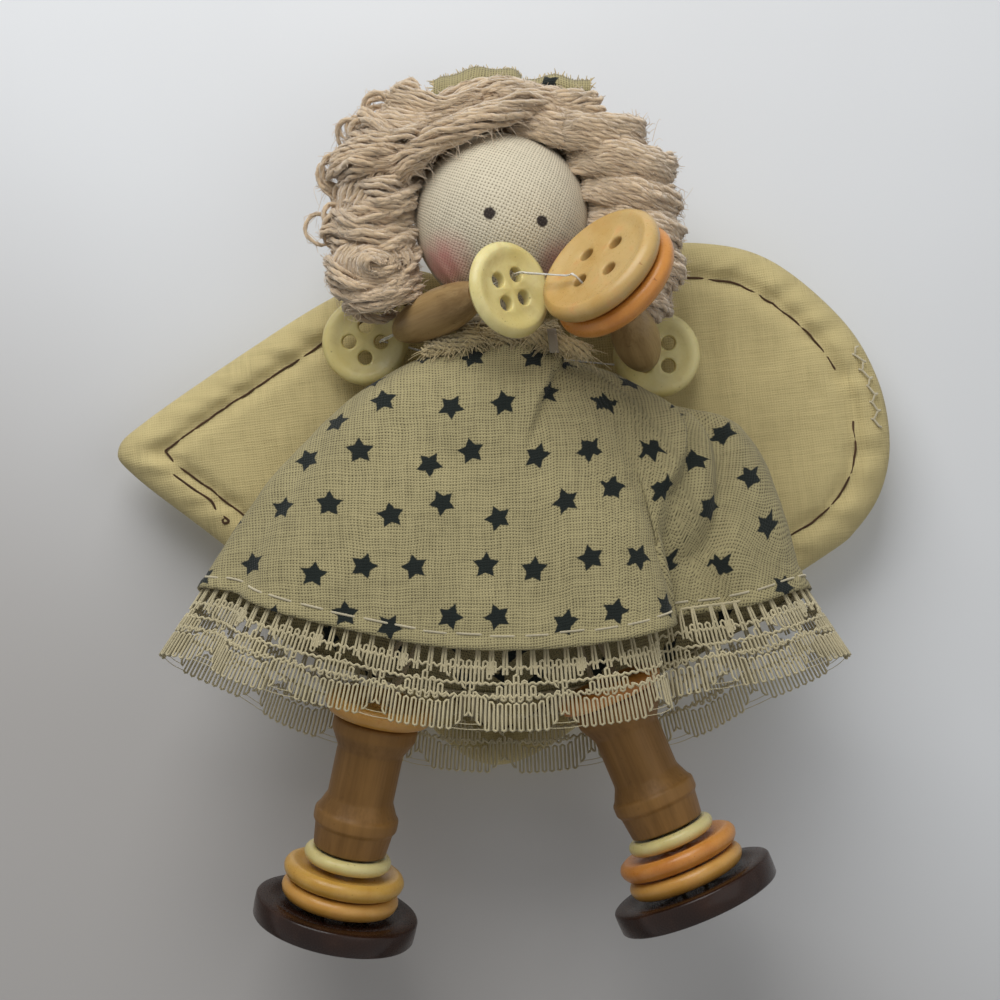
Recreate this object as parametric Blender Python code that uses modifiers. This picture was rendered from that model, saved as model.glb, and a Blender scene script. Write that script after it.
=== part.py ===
"""Cloth angel magnet: a cloth doll with yarn hair, padded heart wings and strung button limbs.

The doll stands upright with +Z up. Its front faces -Y and its magnet faces +Y. The origin is the
centre of the magnet's back face. Left and right are the viewer's, as seen from the front.
"""

import math

import bmesh
import bpy
from mathutils import Matrix, Vector

MM = 0.001

# Clearances
SEAT_GAP = 0.3 * MM
THREAD_GAP = 0.15 * MM

# Magnet and its glue
MAGNET_DIAMETER = 18.0 * MM
MAGNET_THICKNESS = 4.0 * MM
MAGNET_EDGE = 0.4 * MM
GLUE_DIAMETER = 15.0 * MM
GLUE_THICKNESS = 0.5 * MM

# Wings: half the padding's thickness, the rolled edge and the stitched groove inside it
WING_HALF_PADDING = 2.3 * MM
WING_CLOTH = 0.4 * MM
WING_EDGE_ROLL = 5.0 * MM
WING_STITCH_INSET = 5.4 * MM
WING_STITCH_DEPTH = 0.8 * MM
WING_STITCH_WIDTH = 1.6 * MM
WING_CENTRE = Vector((0.0, -10.0)) * MM
WING_SPAN = 113.8 * MM
WING_OUTLINE = [
    (-1.0, -49.0), (-20.0, -33.8), (-41.4, -16.6), (-54.6, -6.4), (-57.0, -2.4), (-52.6, 2.0),
    (-37.7, 12.3), (-25.9, 19.7), (-16.0, 24.0), (-7.5, 22.0), (-0.5, 14.5), (7.0, 22.5),
    (17.0, 27.0), (28.9, 28.0), (39.3, 25.4), (49.7, 16.8), (55.0, 8.0), (56.8, -1.0),
    (55.6, -8.4), (51.9, -14.3), (46.7, -18.5), (24.0, -33.0),
]

# Head: a ball with muslin over it, gathered into a short neck
HEAD_DIAMETER = 24.6 * MM
HEAD_SIDE = -0.4 * MM
HEAD_CLOTH = 0.4 * MM
NECK_RADIUS = 4.2 * MM
NECK_LENGTH = 4.0 * MM
NECK_BASE = 13.0 * MM
HEAD_INTO_HAIR = 1.0 * MM
NECK_TIE_THREAD = 1.1 * MM

# Hair and its bow
HAIR_CROWN_THICKNESS = 7.6 * MM
HAIR_BUNCH_THICKNESS = 12.4 * MM
HAIR_PARTING = 18.5 * MM
HAIR_BACK_WIDTH = 31.0 * MM
HAIR_BACK_HEIGHT = 23.5 * MM
HAIR_BACK_DEPTH = 14.0 * MM
HAIR_BACK_RISE = 7.4 * MM
BOW_STRIP_WIDTH = 4.6 * MM
BOW_STRIP_THICKNESS = 0.6 * MM

# Body stuffed with wadding, inside the dress
BODY_DIAMETER = 16.4 * MM
BODY_BOTTOM = -13.0 * MM
BODY_BACK_ROOM = 13.6 * MM
# Body's outline from the neck down: share of its height, share of its half width
BODY_SHAPE = [
    (0.0, 0.46), (0.06, 0.51), (0.2, 0.61), (0.42, 0.88),
    (0.66, 1.0), (0.86, 0.97), (0.96, 0.88), (1.0, 0.75),
]

# Dress, gathered round the neck, with its hem raised over the front of the legs
DRESS_CLOTH = 0.5 * MM
DRESS_NECK_RADIUS = 5.1 * MM
DRESS_NECK_HEIGHT = 10.7 * MM
DRESS_NECK_TILT = 1.1 * MM
DRESS_HEM_HALF_WIDTH = 42.9 * MM
DRESS_HEM_FRONT = -38.5 * MM
DRESS_BACK = -11.6 * MM
DRESS_HEM_HEIGHT = -28.5 * MM
DRESS_HEM_LIFT = 4.5 * MM
DRESS_HEM_DIP = -6.0 * MM
DRESS_BACK_FULL_DROP = 0.3
DRESS_FOLD_GROWTH = 1.2
DRESS_SECTION_LEAN = 1.15
# Main folds: angle from the front towards +X, depth at the hem, half width, both angles in degrees
DRESS_FOLDS = [
    (40.0, 6.4 * MM, 8.0),
    (-28.0, 1.6 * MM, 12.0),
    (-66.0, 2.0 * MM, 9.0),
    (128.0, 2.2 * MM, 11.0),
    (166.0, 1.8 * MM, 11.0),
    (204.0, 2.0 * MM, 11.0),
    (238.0, 2.2 * MM, 11.0),
]

# Hem lace, sewn inside the hem
LACE_DROP = 11.0 * MM
LACE_TUCK = 2.0 * MM
LACE_THICKNESS = 0.4 * MM
LACE_WAVES = 11
LACE_WAVE_DEPTH = 0.5 * MM

# Frayed collar in front of the neck
COLLAR_RADIUS = 6.6 * MM
COLLAR_SET_BACK = 0.9 * MM
COLLAR_THICKNESS = 2.2 * MM
COLLAR_LEFT_END = -35.0
COLLAR_RIGHT_END = 100.0
COLLAR_RISE = 1.6 * MM
COLLAR_SEAT = 0.8

# Buttons: diameter and thickness by use
BUTTON_RIM_WIDTH = 1.7 * MM
BUTTON_DISH = 0.5 * MM
# Button's edge, in shares of its thickness: rounding in front and behind, and the height of its widest line
BUTTON_FRONT_ROUND = 0.28
BUTTON_BACK_ROUND = 0.4
BUTTON_WIDEST = 0.55
BUTTON_HOLE_DIAMETER = 2.0 * MM
BUTTON_HOLE_CIRCLE = 2.3 * MM
LARGE_HOLE_CIRCLE = 3.4 * MM
LEG_HOLE_CIRCLE = 1.9 * MM
SHOULDER_BUTTON = (12.5 * MM, 2.0 * MM)
YELLOW_HAND_BUTTON = (13.2 * MM, 2.2 * MM)
LARGE_HAND_BUTTON = (18.4 * MM, 2.9 * MM)
UPPER_LEG_BUTTON = (15.2 * MM, 2.6 * MM)
ANKLE_BUTTON = (12.5 * MM, 2.0 * MM)
MIDDLE_BUTTON = (17.3 * MM, 2.6 * MM)
LOWER_BUTTON = (16.8 * MM, 2.6 * MM)
FOOT_BUTTON = (23.4 * MM, 3.4 * MM)

# Wooden pieces
SPOOL_LENGTH = 19.2 * MM
SPOOL_FLANGE_DIAMETER = 12.0 * MM
SPOOL_BARREL_DIAMETER = 9.4 * MM
SPOOL_BORE = 4.2 * MM
SPOOL_EDGE = 0.4 * MM
SPOOL_RIM_HEIGHT = 2.0 * MM
SPOOL_SLOPE_HEIGHT = 2.4 * MM
SPOOL_FOOT_HEIGHT = 3.4 * MM
BEAD_LENGTH = 18.6 * MM
BEAD_DIAMETER = 6.6 * MM
BEAD_BORE = 1.8 * MM
BEAD_BLUNTNESS = 1.12

# Cords
ARM_LINE = 0.5 * MM
NECK_LINE_RISE = 0.7 * MM
NECK_LINE_TURN = 1.1 * MM
NECK_LINE_REACH = 0.36
LEG_CORD = 0.8 * MM
LEG_TURN_DEPTH = 0.9 * MM
LEG_KNEE_ROOM = 1.2 * MM
LEG_RUN_STEPS = 8
HIP_KNOT_DIAMETER = 2.6 * MM
HIP_SPREAD = 5.0 * MM

# Places of the limbs. A hand's depth is counted forward from the front of the face.
SHOULDER_LEFT = Vector((-17.8, -16.9, 12.9)) * MM
SHOULDER_RIGHT = Vector((20.2, -17.6, 9.4)) * MM
LEFT_BEAD_HAND_END = Vector((-3.8, -0.4, 17.9)) * MM
RIGHT_BEAD_HAND_END = Vector((16.3, -1.6, 15.2)) * MM
YELLOW_HAND_HOLE = Vector((0.48, -1.58, 19.94)) * MM
YELLOW_HAND_FACING = Vector((0.60, -0.78, 0.17))
YELLOW_HAND_ACROSS = Vector((0.55, 0.0, 0.90))
LARGE_HAND_HOLE = Vector((11.2, -6.4, 17.6)) * MM
LARGE_HAND_FACING = Vector((-0.62, -0.53, 0.58))
LARGE_HAND_ACROSS = Vector((0.68, 0.0, 0.73))
HIP_DEPTH = -22.0 * MM
LEFT_KNEE = Vector((-17.3, -24.0, -37.6)) * MM
LEFT_LEG_DOWN = Vector((-6.4, 4.5, -29.4))
RIGHT_KNEE = Vector((14.0, -24.0, -35.0)) * MM
RIGHT_LEG_DOWN = Vector((13.0, 0.4, -30.6))

# Facets
TURNED_STEPS = 20
BUTTON_STEPS = 20
SMALL_STEPS = 14
HOLE_SIDES = 8
DRESS_COLUMNS = 44
SMOOTH_ANGLE = math.radians(40)

# Derived places
PAD_HALF = WING_HALF_PADDING + SEAT_GAP + WING_CLOTH
WING_DEPTH = -(MAGNET_THICKNESS + GLUE_THICKNESS + 2 * SEAT_GAP + PAD_HALF)
HEAD_RADIUS = HEAD_DIAMETER / 2
HEAD_DEPTH = WING_DEPTH - PAD_HALF - SEAT_GAP - HEAD_RADIUS + HEAD_INTO_HAIR
HEAD_CENTRE = Vector((HEAD_SIDE, HEAD_DEPTH, NECK_BASE + NECK_LENGTH + HEAD_RADIUS))
FACE_FRONT = HEAD_CENTRE.y - HEAD_RADIUS
BODY_AXIS_DEPTH = -BODY_BACK_ROOM - BODY_DIAMETER / 2
LEG_STRAND_OFFSET = SPOOL_BORE / 2 - LEG_CORD / 2 - THREAD_GAP


def clear_scene():
    """Empty the scene so that only this object is in it."""
    for obj in list(bpy.data.objects):
        bpy.data.objects.remove(obj, do_unlink=True)


def new_collection(name):
    found = bpy.data.collections.new(name)
    bpy.context.scene.collection.children.link(found)
    return found


def principled(name, colour, roughness, metallic=0.0):
    """A plain finish with one colour."""
    made = bpy.data.materials.new(name)
    made.use_nodes = True
    shader = made.node_tree.nodes["Principled BSDF"]
    shader.inputs["Base Color"].default_value = (*colour, 1.0)
    shader.inputs["Roughness"].default_value = roughness
    shader.inputs["Metallic"].default_value = metallic
    return made


class Workshop:
    """Holds the collections and finishes, and puts finished pieces on the bench."""

    def __init__(self):
        self.parts = new_collection("cloth_angel_magnet")
        self.cutters = new_collection("cutters")
        self.finishes = {
            "muslin": principled("muslin", (0.66, 0.60, 0.47), 0.9),
            "wing_muslin": principled("wing_muslin", (0.60, 0.52, 0.30), 0.9),
            "star_cloth": principled("star_cloth", (0.48, 0.43, 0.28), 0.9),
            "lace": principled("lace", (0.60, 0.55, 0.40), 0.9),
            "yarn": principled("yarn", (0.50, 0.39, 0.26), 0.95),
            "wood": principled("wood", (0.33, 0.18, 0.07), 0.6),
            "bead_wood": principled("bead_wood", (0.36, 0.24, 0.10), 0.55),
            "yellow_plastic": principled("yellow_plastic", (0.68, 0.58, 0.22), 0.3),
            "peach_plastic": principled("peach_plastic", (0.62, 0.38, 0.13), 0.3),
            "orange_plastic": principled("orange_plastic", (0.68, 0.31, 0.07), 0.3),
            "brown_plastic": principled("brown_plastic", (0.030, 0.013, 0.009), 0.2),
            "cord": principled("cord", (0.55, 0.48, 0.34), 0.9),
            "clear_line": principled("clear_line", (0.80, 0.80, 0.76), 0.1),
            "magnet": principled("magnet", (0.05, 0.05, 0.055), 0.5, 0.3),
            "glue": principled("glue", (0.75, 0.72, 0.62), 0.25),
        }

    def add(self, name, data, finish, smooth=True):
        """Make one named piece from a mesh or a curve and give it its finish."""
        obj = bpy.data.objects.new(name, data)
        self.parts.objects.link(obj)
        own = self.finishes[finish].copy()
        own.name = name + "_" + finish
        data.materials.clear()
        data.materials.append(own)
        if smooth and obj.type == "MESH":
            data.shade_smooth()
            data.set_sharp_from_angle(angle=SMOOTH_ANGLE)
        return obj

    def cutter(self, name, data):
        """Make a helper solid that only cuts."""
        obj = bpy.data.objects.new(name, data)
        self.cutters.objects.link(obj)
        obj.hide_render = True
        obj.display_type = "WIRE"
        return obj

    def baked(self, obj):
        """Turn an object with modifiers into a plain mesh and take the object away."""
        bpy.context.view_layer.update()
        graph = bpy.context.evaluated_depsgraph_get()
        mesh = bpy.data.meshes.new_from_object(obj.evaluated_get(graph))
        bpy.data.objects.remove(obj, do_unlink=True)
        body = bmesh.new()
        body.from_mesh(mesh)
        bmesh.ops.remove_doubles(body, verts=body.verts, dist=1e-6)
        body.to_mesh(mesh)
        body.free()
        return mesh


def profile_mesh(name, points):
    """A chain of edges through (radius, height) points."""
    mesh = bpy.data.meshes.new(name)
    body = bmesh.new()
    chain = [body.verts.new((radius, 0.0, height)) for radius, height in points]
    for first, second in zip(chain, chain[1:]):
        body.edges.new((first, second))
    body.to_mesh(mesh)
    body.free()
    return mesh


def spin_round(obj, steps=TURNED_STEPS):
    """Turn a profile about the object's Z axis."""
    screw = obj.modifiers.new("turned", "SCREW")
    screw.axis = "Z"
    screw.angle = 2 * math.pi
    screw.screw_offset = 0.0
    screw.steps = steps
    screw.render_steps = steps
    screw.use_merge_vertices = True
    screw.merge_threshold = 1e-6
    return screw


def cut(obj, cutter):
    """Take a helper solid out of an object."""
    boolean = obj.modifiers.new("cut", "BOOLEAN")
    boolean.operation = "DIFFERENCE"
    boolean.solver = "EXACT"
    boolean.object = cutter


def turned_mesh(shop, name, points, steps=TURNED_STEPS):
    """A solid of revolution as a plain mesh. The profile runs down its outer side."""
    obj = bpy.data.objects.new(name, profile_mesh(name, points))
    shop.cutters.objects.link(obj)
    spin_round(obj, steps)
    return shop.baked(obj)


def sphere_mesh(name, radius, columns=16, rows=10):
    mesh = bpy.data.meshes.new(name)
    body = bmesh.new()
    bmesh.ops.create_uvsphere(body, u_segments=columns, v_segments=rows, radius=radius)
    body.to_mesh(mesh)
    body.free()
    return mesh


def smooth_path(points, per_span, closed=False):
    """Points along a smooth curve through the given ones."""
    count = len(points)
    spans = count if closed else count - 1
    path = []
    for i in range(spans):
        before = points[(i - 1) % count] if closed or i > 0 else points[0]
        start, end = points[i], points[(i + 1) % count]
        after = points[(i + 2) % count] if closed or i + 2 < count else points[-1]
        for step in range(per_span):
            t = step / per_span
            pull = (end - before) * 0.5
            push = (after - start) * 0.5
            path.append(
                start * (2 * t**3 - 3 * t**2 + 1)
                + end * (3 * t**2 - 2 * t**3)
                + pull * (t**3 - 2 * t**2 + t)
                + push * (t**3 - t**2)
            )
    if not closed:
        path.append(points[-1].copy())
    return path


def tube_curve(name, path, radius, bevel_resolution=1, swell=None):
    """A round cord along a path. swell gives each point's share of the radius."""
    curve = bpy.data.curves.new(name, "CURVE")
    curve.dimensions = "3D"
    curve.bevel_depth = radius
    curve.bevel_resolution = bevel_resolution
    curve.use_fill_caps = True
    spline = curve.splines.new("POLY")
    spline.points.add(len(path) - 1)
    for index, place in enumerate(path):
        spline.points[index].co = (*place, 1.0)
        if swell:
            spline.points[index].radius = swell[index]
    return curve


def tube_mesh(shop, name, path, radius, bevel_resolution=1, swell=None):
    """A cord as a plain closed mesh."""
    obj = bpy.data.objects.new(name, tube_curve(name, path, radius, bevel_resolution, swell))
    shop.cutters.objects.link(obj)
    return shop.baked(obj)


def loft_mesh(name, rings, close_ends=False):
    """A skin through closed rings that have the same number of points."""
    mesh = bpy.data.meshes.new(name)
    body = bmesh.new()
    rows = [[body.verts.new(point) for point in ring] for ring in rings]
    count = len(rows[0])
    for upper, lower in zip(rows, rows[1:]):
        for i in range(count):
            j = (i + 1) % count
            body.faces.new((upper[i], lower[i], lower[j], upper[j]))
    if close_ends:
        body.faces.new(rows[0])
        body.faces.new(rows[-1])
    bmesh.ops.recalc_face_normals(body, faces=body.faces)
    body.to_mesh(mesh)
    body.free()
    return mesh


def solidify(obj, thickness, offset):
    """Give an open skin its thickness. An offset of -1 grows it inwards and 1 outwards."""
    shell = obj.modifiers.new("thickness", "SOLIDIFY")
    shell.thickness = thickness
    shell.offset = offset
    shell.use_even_offset = True


def close_flat_ends(mesh):
    """Close the open ends of a turned skin with one flat face each."""
    body = bmesh.new()
    body.from_mesh(mesh)
    bmesh.ops.holes_fill(body, edges=[edge for edge in body.edges if edge.is_boundary], sides=0)
    bmesh.ops.recalc_face_normals(body, faces=body.faces)
    body.to_mesh(mesh)
    body.free()


def frame_along(place, direction, across=Vector((1.0, 0.0, 0.0))):
    """A placement at a point, with its Z axis along a direction and its X axis nearest to across."""
    up = Vector(direction).normalized()
    side = (across - up * across.dot(up)).normalized()
    turn = Matrix((side, up.cross(side), up)).transposed().to_4x4()
    return Matrix.Translation(place) @ turn


def joint_empty(shop, name, matrix):
    """An empty on a joint's axis, which carries the pieces that turn about it."""
    empty = bpy.data.objects.new(name, None)
    empty.empty_display_size = 5 * MM
    shop.parts.objects.link(empty)
    empty.matrix_world = matrix
    return empty


def carry_in_place(parent, obj):
    """Hang a piece on an empty without moving it."""
    obj.parent = parent
    obj.matrix_parent_inverse = parent.matrix_world.inverted()


def carry(parent, obj, height=0.0):
    """Seat a piece on an empty, at a height along its axis."""
    obj.parent = parent
    obj.location = (0.0, 0.0, height)


def button_mesh(shop, name, size, hole_circle, pivot=(0.0, 0.0)):
    """A four-hole button with a raised rim. Its back lies at height 0, and pivot is moved to its origin."""
    diameter, thickness = size
    radius = diameter / 2
    floor = thickness - BUTTON_DISH
    rim_inside = radius - BUTTON_RIM_WIDTH
    points = [
        (rim_inside - BUTTON_DISH, floor),
        (rim_inside, thickness),
        (radius - BUTTON_FRONT_ROUND * thickness, thickness),
        (radius, thickness * BUTTON_WIDEST),
        (radius - BUTTON_BACK_ROUND * thickness, 0.0),
    ]
    blank = turned_mesh(shop, name, points, BUTTON_STEPS)
    close_flat_ends(blank)
    obj = bpy.data.objects.new(name, blank)
    shop.cutters.objects.link(obj)
    holes = bpy.data.meshes.new(name + "_holes")
    body = bmesh.new()
    for quarter in range(4):
        angle = quarter * math.pi / 2
        place = Vector((hole_circle * math.cos(angle), hole_circle * math.sin(angle), thickness / 2))
        bmesh.ops.create_cone(
            body, cap_ends=True, segments=HOLE_SIDES, radius1=BUTTON_HOLE_DIAMETER / 2,
            radius2=BUTTON_HOLE_DIAMETER / 2, depth=3 * thickness, matrix=Matrix.Translation(place),
        )
    body.to_mesh(holes)
    body.free()
    punch = shop.cutter(name + "_punch", holes)
    cut(obj, punch)
    mesh = shop.baked(obj)
    bpy.data.objects.remove(punch, do_unlink=True)
    mesh.transform(Matrix.Translation((-pivot[0], -pivot[1], 0.0)))
    return mesh


def spool_mesh(shop):
    """A turned thread spool with sloped flanges and a plain bore. Its lower end lies at height 0."""
    flange = SPOOL_FLANGE_DIAMETER / 2
    barrel = SPOOL_BARREL_DIAMETER / 2
    bore = SPOOL_BORE / 2
    edge = SPOOL_EDGE
    top = SPOOL_LENGTH
    rim_height = SPOOL_RIM_HEIGHT
    slope_height = SPOOL_SLOPE_HEIGHT
    foot_height = SPOOL_FOOT_HEIGHT
    foot = flange - edge
    points = [
        (bore, top),
        (flange - edge, top),
        (flange, top - edge),
        (flange, top - rim_height),
        (barrel, top - rim_height - slope_height),
        (barrel, foot_height + rim_height + slope_height),
        (flange - edge, foot_height + rim_height + edge),
        (flange, foot_height + rim_height),
        (flange, foot_height + edge),
        (foot, foot_height),
        (foot - edge, 0.0),
        (bore, 0.0),
        (bore, top),
    ]
    return turned_mesh(shop, "spool", points)


def bead_mesh(shop):
    """An oval wooden bead with a straight bore, centred on its own middle."""
    half = BEAD_LENGTH / 2
    reach = half * BEAD_BLUNTNESS
    points = [(BEAD_BORE / 2, half)]
    rows = 8
    for row in range(rows + 1):
        height = half - BEAD_LENGTH * row / rows
        points.append((BEAD_DIAMETER / 2 * math.sqrt(1 - (height / reach) ** 2), height))
    points.append((BEAD_BORE / 2, -half))
    points.append((BEAD_BORE / 2, half))
    return turned_mesh(shop, "bead", points, SMALL_STEPS)


def make_magnet(shop):
    """The disc magnet and the glue that holds it to the back of the wings."""
    radius = MAGNET_DIAMETER / 2
    points = [
        (0.0, MAGNET_THICKNESS),
        (radius - MAGNET_EDGE, MAGNET_THICKNESS),
        (radius, MAGNET_THICKNESS - MAGNET_EDGE),
        (radius, MAGNET_EDGE),
        (radius - MAGNET_EDGE, 0.0),
        (0.0, 0.0),
    ]
    facing_front = Matrix.Rotation(math.pi / 2, 4, "X")
    magnet = shop.add("magnet", turned_mesh(shop, "magnet", points), "magnet")
    magnet.matrix_world = facing_front
    glue_points = [
        (0.0, GLUE_THICKNESS),
        (GLUE_DIAMETER / 2 - GLUE_THICKNESS, GLUE_THICKNESS),
        (GLUE_DIAMETER / 2, 0.0),
        (0.0, 0.0),
    ]
    glue = shop.add("magnet_glue", turned_mesh(shop, "magnet_glue", glue_points), "glue")
    glue.matrix_world = Matrix.Translation((0.0, -MAGNET_THICKNESS - SEAT_GAP, 0.0)) @ facing_front


def wing_outline():
    """The heart's edge, in the X and Z of the doll."""
    drawn_span = max(x for x, _ in WING_OUTLINE) - min(x for x, _ in WING_OUTLINE)
    corners = [Vector((x, z)) * WING_SPAN / drawn_span for x, z in WING_OUTLINE]
    return smooth_path(corners, 2, closed=True)


def edge_distance(place, outline):
    """How far a point lies inside the edge."""
    nearest = float("inf")
    for start, end in zip(outline, outline[1:] + outline[:1]):
        along = end - start
        share = max(0.0, min(1.0, (place - start).dot(along) / along.length_squared))
        nearest = min(nearest, (place - start - along * share).length)
    return nearest


def padding_height(distance):
    """Half the padding's thickness at a distance from the edge: a rolled edge, then a stitched groove."""
    rolled = min(distance / WING_EDGE_ROLL, 1.0)
    height = WING_HALF_PADDING * math.sqrt(1 - (1 - rolled) ** 2)
    groove = math.exp(-(((distance - WING_STITCH_INSET) / WING_STITCH_WIDTH) ** 2))
    return max(height - WING_STITCH_DEPTH * groove, 0.0)


def wing_skin(name, outline, shares, side, lift):
    """One side of the wings as an open skin, side -1 for the front and 1 for the back."""
    mesh = bpy.data.meshes.new(name)
    body = bmesh.new()
    rows = []
    for share in shares:
        row = []
        for edge in outline:
            place = WING_CENTRE + (edge - WING_CENTRE) * share
            height = padding_height(edge_distance(place, outline)) + lift
            row.append(body.verts.new((place.x, WING_DEPTH + side * height, place.y)))
        rows.append(row)
    middle = padding_height(edge_distance(WING_CENTRE, outline)) + lift
    pole = body.verts.new((WING_CENTRE.x, WING_DEPTH + side * middle, WING_CENTRE.y))
    count = len(outline)
    for i in range(count):
        j = (i + 1) % count
        body.faces.new((pole, rows[0][i], rows[0][j]))
        for inner, outer in zip(rows, rows[1:]):
            body.faces.new((inner[i], outer[i], outer[j], inner[j]))
    bmesh.ops.recalc_face_normals(body, faces=body.faces)
    if body.faces[0].normal.y * side < 0:
        bmesh.ops.reverse_faces(body, faces=body.faces)
    body.to_mesh(mesh)
    body.free()
    return mesh


def make_wings(shop):
    """Two cloth panels and the padding between them."""
    outline = wing_outline()
    inside = [0.42, 0.72, 0.88, 0.96]
    for name, side in (("wing_front", -1), ("wing_back", 1)):
        panel = shop.add(name, wing_skin(name, outline, inside + [1.0], side, SEAT_GAP), "wing_muslin")
        solidify(panel, WING_CLOTH, 1.0)
    front = wing_skin("padding_front", outline, inside, -1, 0.0)
    back = wing_skin("padding_back", outline, inside, 1, 0.0)
    body = bmesh.new()
    body.from_mesh(front)
    body.from_mesh(back)
    rims = [edge for edge in body.edges if edge.is_boundary]
    bmesh.ops.bridge_loops(body, edges=rims)
    bmesh.ops.recalc_face_normals(body, faces=body.faces)
    body.to_mesh(front)
    body.free()
    bpy.data.meshes.remove(back)
    shop.add("wing_batting", front, "cord")


def make_head(shop):
    """The ball, the muslin over it and the thread that ties the neck."""
    inner = HEAD_RADIUS - HEAD_CLOTH
    ball = shop.add("head_ball", sphere_mesh("head_ball", inner - SEAT_GAP), "wood")
    ball.location = HEAD_CENTRE
    neck_inside = NECK_RADIUS - HEAD_CLOTH
    bottom = -HEAD_RADIUS - NECK_LENGTH
    points = ball_arc(HEAD_RADIUS, NECK_RADIUS)
    points += [(NECK_RADIUS, bottom), (neck_inside, bottom)]
    points += reversed(ball_arc(inner, neck_inside))
    cover = shop.add("head_cover", turned_mesh(shop, "head_cover", points), "muslin")
    cover.location = HEAD_CENTRE
    tie_radius = NECK_TIE_THREAD / 2
    bpy.ops.mesh.primitive_torus_add(
        major_radius=NECK_RADIUS + THREAD_GAP + tie_radius, minor_radius=tie_radius,
        major_segments=16, minor_segments=6,
    )
    torus = bpy.context.object
    mesh = torus.data
    bpy.data.objects.remove(torus, do_unlink=True)
    tie = shop.add("neck_tie", mesh, "cord")
    tie.location = (HEAD_CENTRE.x, HEAD_CENTRE.y, NECK_BASE + NECK_LENGTH / 2)


def ball_arc(radius, neck):
    """Profile of a ball from its top down to where it meets the neck."""
    end = math.pi - math.asin(neck / radius)
    rows = 9
    angles = [end * row / rows for row in range(rows + 1)]
    return [(radius * math.sin(angle), radius * math.cos(angle)) for angle in angles]


def head_ring(angle, radius, depth):
    """A point on a ring round the head, seen from the front, with 0 at +X and 90 degrees at the top."""
    turn = math.radians(angle)
    return Vector((HEAD_CENTRE.x + radius * math.cos(turn), depth, HEAD_CENTRE.z + radius * math.sin(turn)))


def make_hair(shop):
    """The yarn: a hank over the forehead, a bunch on each side and the back of the head."""
    clear = HEAD_RADIUS + SEAT_GAP
    crown_half = HAIR_CROWN_THICKNESS / 2
    crown_depth = -HAIR_PARTING - SEAT_GAP - crown_half
    arch = [head_ring(angle, clear + crown_half, crown_depth) for angle in range(42, 139, 8)]
    ends = [0.72, 0.9]
    swell = ends + [1.0] * (len(arch) - 4) + ends[::-1]
    shop.add("hair_crown", tube_mesh(shop, "hair_crown", arch, crown_half, 2, swell), "yarn")
    bunch_half = HAIR_BUNCH_THICKNESS / 2
    bunch_depth = -HAIR_PARTING - SEAT_GAP - bunch_half
    for name, start, end in (("hair_right", 36, -34), ("hair_left", 144, 214)):
        angles = [start + (end - start) * step / 8 for step in range(9)]
        fall = [head_ring(angle, clear + bunch_half, bunch_depth) for angle in angles]
        plump = [0.62, 0.84, 0.96, 1.0, 1.0, 1.0, 0.98, 0.88, 0.6]
        shop.add(name, tube_mesh(shop, name, fall, bunch_half, 2, plump), "yarn")
    make_back_hair(shop, clear)
    make_bow(shop)


def make_back_hair(shop, clear):
    """The hair behind the head, hollowed to sit on it and cut flat at the parting."""
    mesh = sphere_mesh("hair_back", 1.0, 24, 14)
    half = Vector((HAIR_BACK_WIDTH, HAIR_BACK_DEPTH, HAIR_BACK_HEIGHT)) / 2
    centre = Vector((HEAD_CENTRE.x, -HAIR_PARTING + SEAT_GAP, HEAD_CENTRE.z + HAIR_BACK_RISE))
    mesh.transform(Matrix.Translation(centre) @ Matrix.Diagonal((*half, 1.0)))
    body = bmesh.new()
    body.from_mesh(mesh)
    cut_plane = bmesh.ops.bisect_plane(
        body, geom=body.verts[:] + body.edges[:] + body.faces[:], plane_co=centre, plane_no=(0, -1, 0),
        clear_outer=True,
    )
    rim = [item for item in cut_plane["geom_cut"] if isinstance(item, bmesh.types.BMEdge)]
    bmesh.ops.contextual_create(body, geom=rim)
    bmesh.ops.recalc_face_normals(body, faces=body.faces)
    body.to_mesh(mesh)
    body.free()
    obj = bpy.data.objects.new("hair_back_blank", mesh)
    shop.cutters.objects.link(obj)
    hollow = shop.cutter("hair_back_hollow", sphere_mesh("hair_back_hollow", clear, 24, 16))
    hollow.location = HEAD_CENTRE
    cut(obj, hollow)
    finished = shop.baked(obj)
    bpy.data.objects.remove(hollow, do_unlink=True)
    shop.add("hair_back", finished, "yarn")


def make_bow(shop):
    """The torn strip tied behind the crown, with both ends standing up."""
    top = HEAD_CENTRE.z + HAIR_BACK_RISE + HAIR_BACK_HEIGHT / 2 + SEAT_GAP + BOW_STRIP_THICKNESS / 2
    rise = [3.0, 2.9, 1.6, 0.1, 0.0, 0.9, 2.3, 2.2]
    reach = [-9.4, -7.2, -4.4, -1.2, 1.4, 4.4, 8.0, 11.2]
    depth = -HAIR_PARTING + SEAT_GAP + BOW_STRIP_WIDTH / 2
    across = Vector((0.0, BOW_STRIP_WIDTH / 2, 0.0))
    up = Vector((0.0, 0.0, BOW_STRIP_THICKNESS / 2))
    rings = []
    for x, z in zip(reach, rise):
        place = Vector((HEAD_CENTRE.x + x * MM, depth, top + z * MM))
        rings.append([place - across - up, place + across - up, place + across + up, place - across + up])
    shop.add("hair_bow", loft_mesh("hair_bow", rings, close_ends=True), "star_cloth", smooth=False)


def make_body(shop):
    """The stuffed body inside the dress, drawn in at the neck and round below."""
    top = NECK_BASE - SEAT_GAP
    height = top - BODY_BOTTOM
    half = BODY_DIAMETER / 2
    points = [(0.0, top)]
    points += [(half * width, top - height * fall) for fall, width in BODY_SHAPE]
    points.append((0.0, BODY_BOTTOM))
    body = shop.add("stuffed_body", turned_mesh(shop, "stuffed_body", points, 20), "muslin")
    body.location = (0.0, BODY_AXIS_DEPTH, 0.0)


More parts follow.
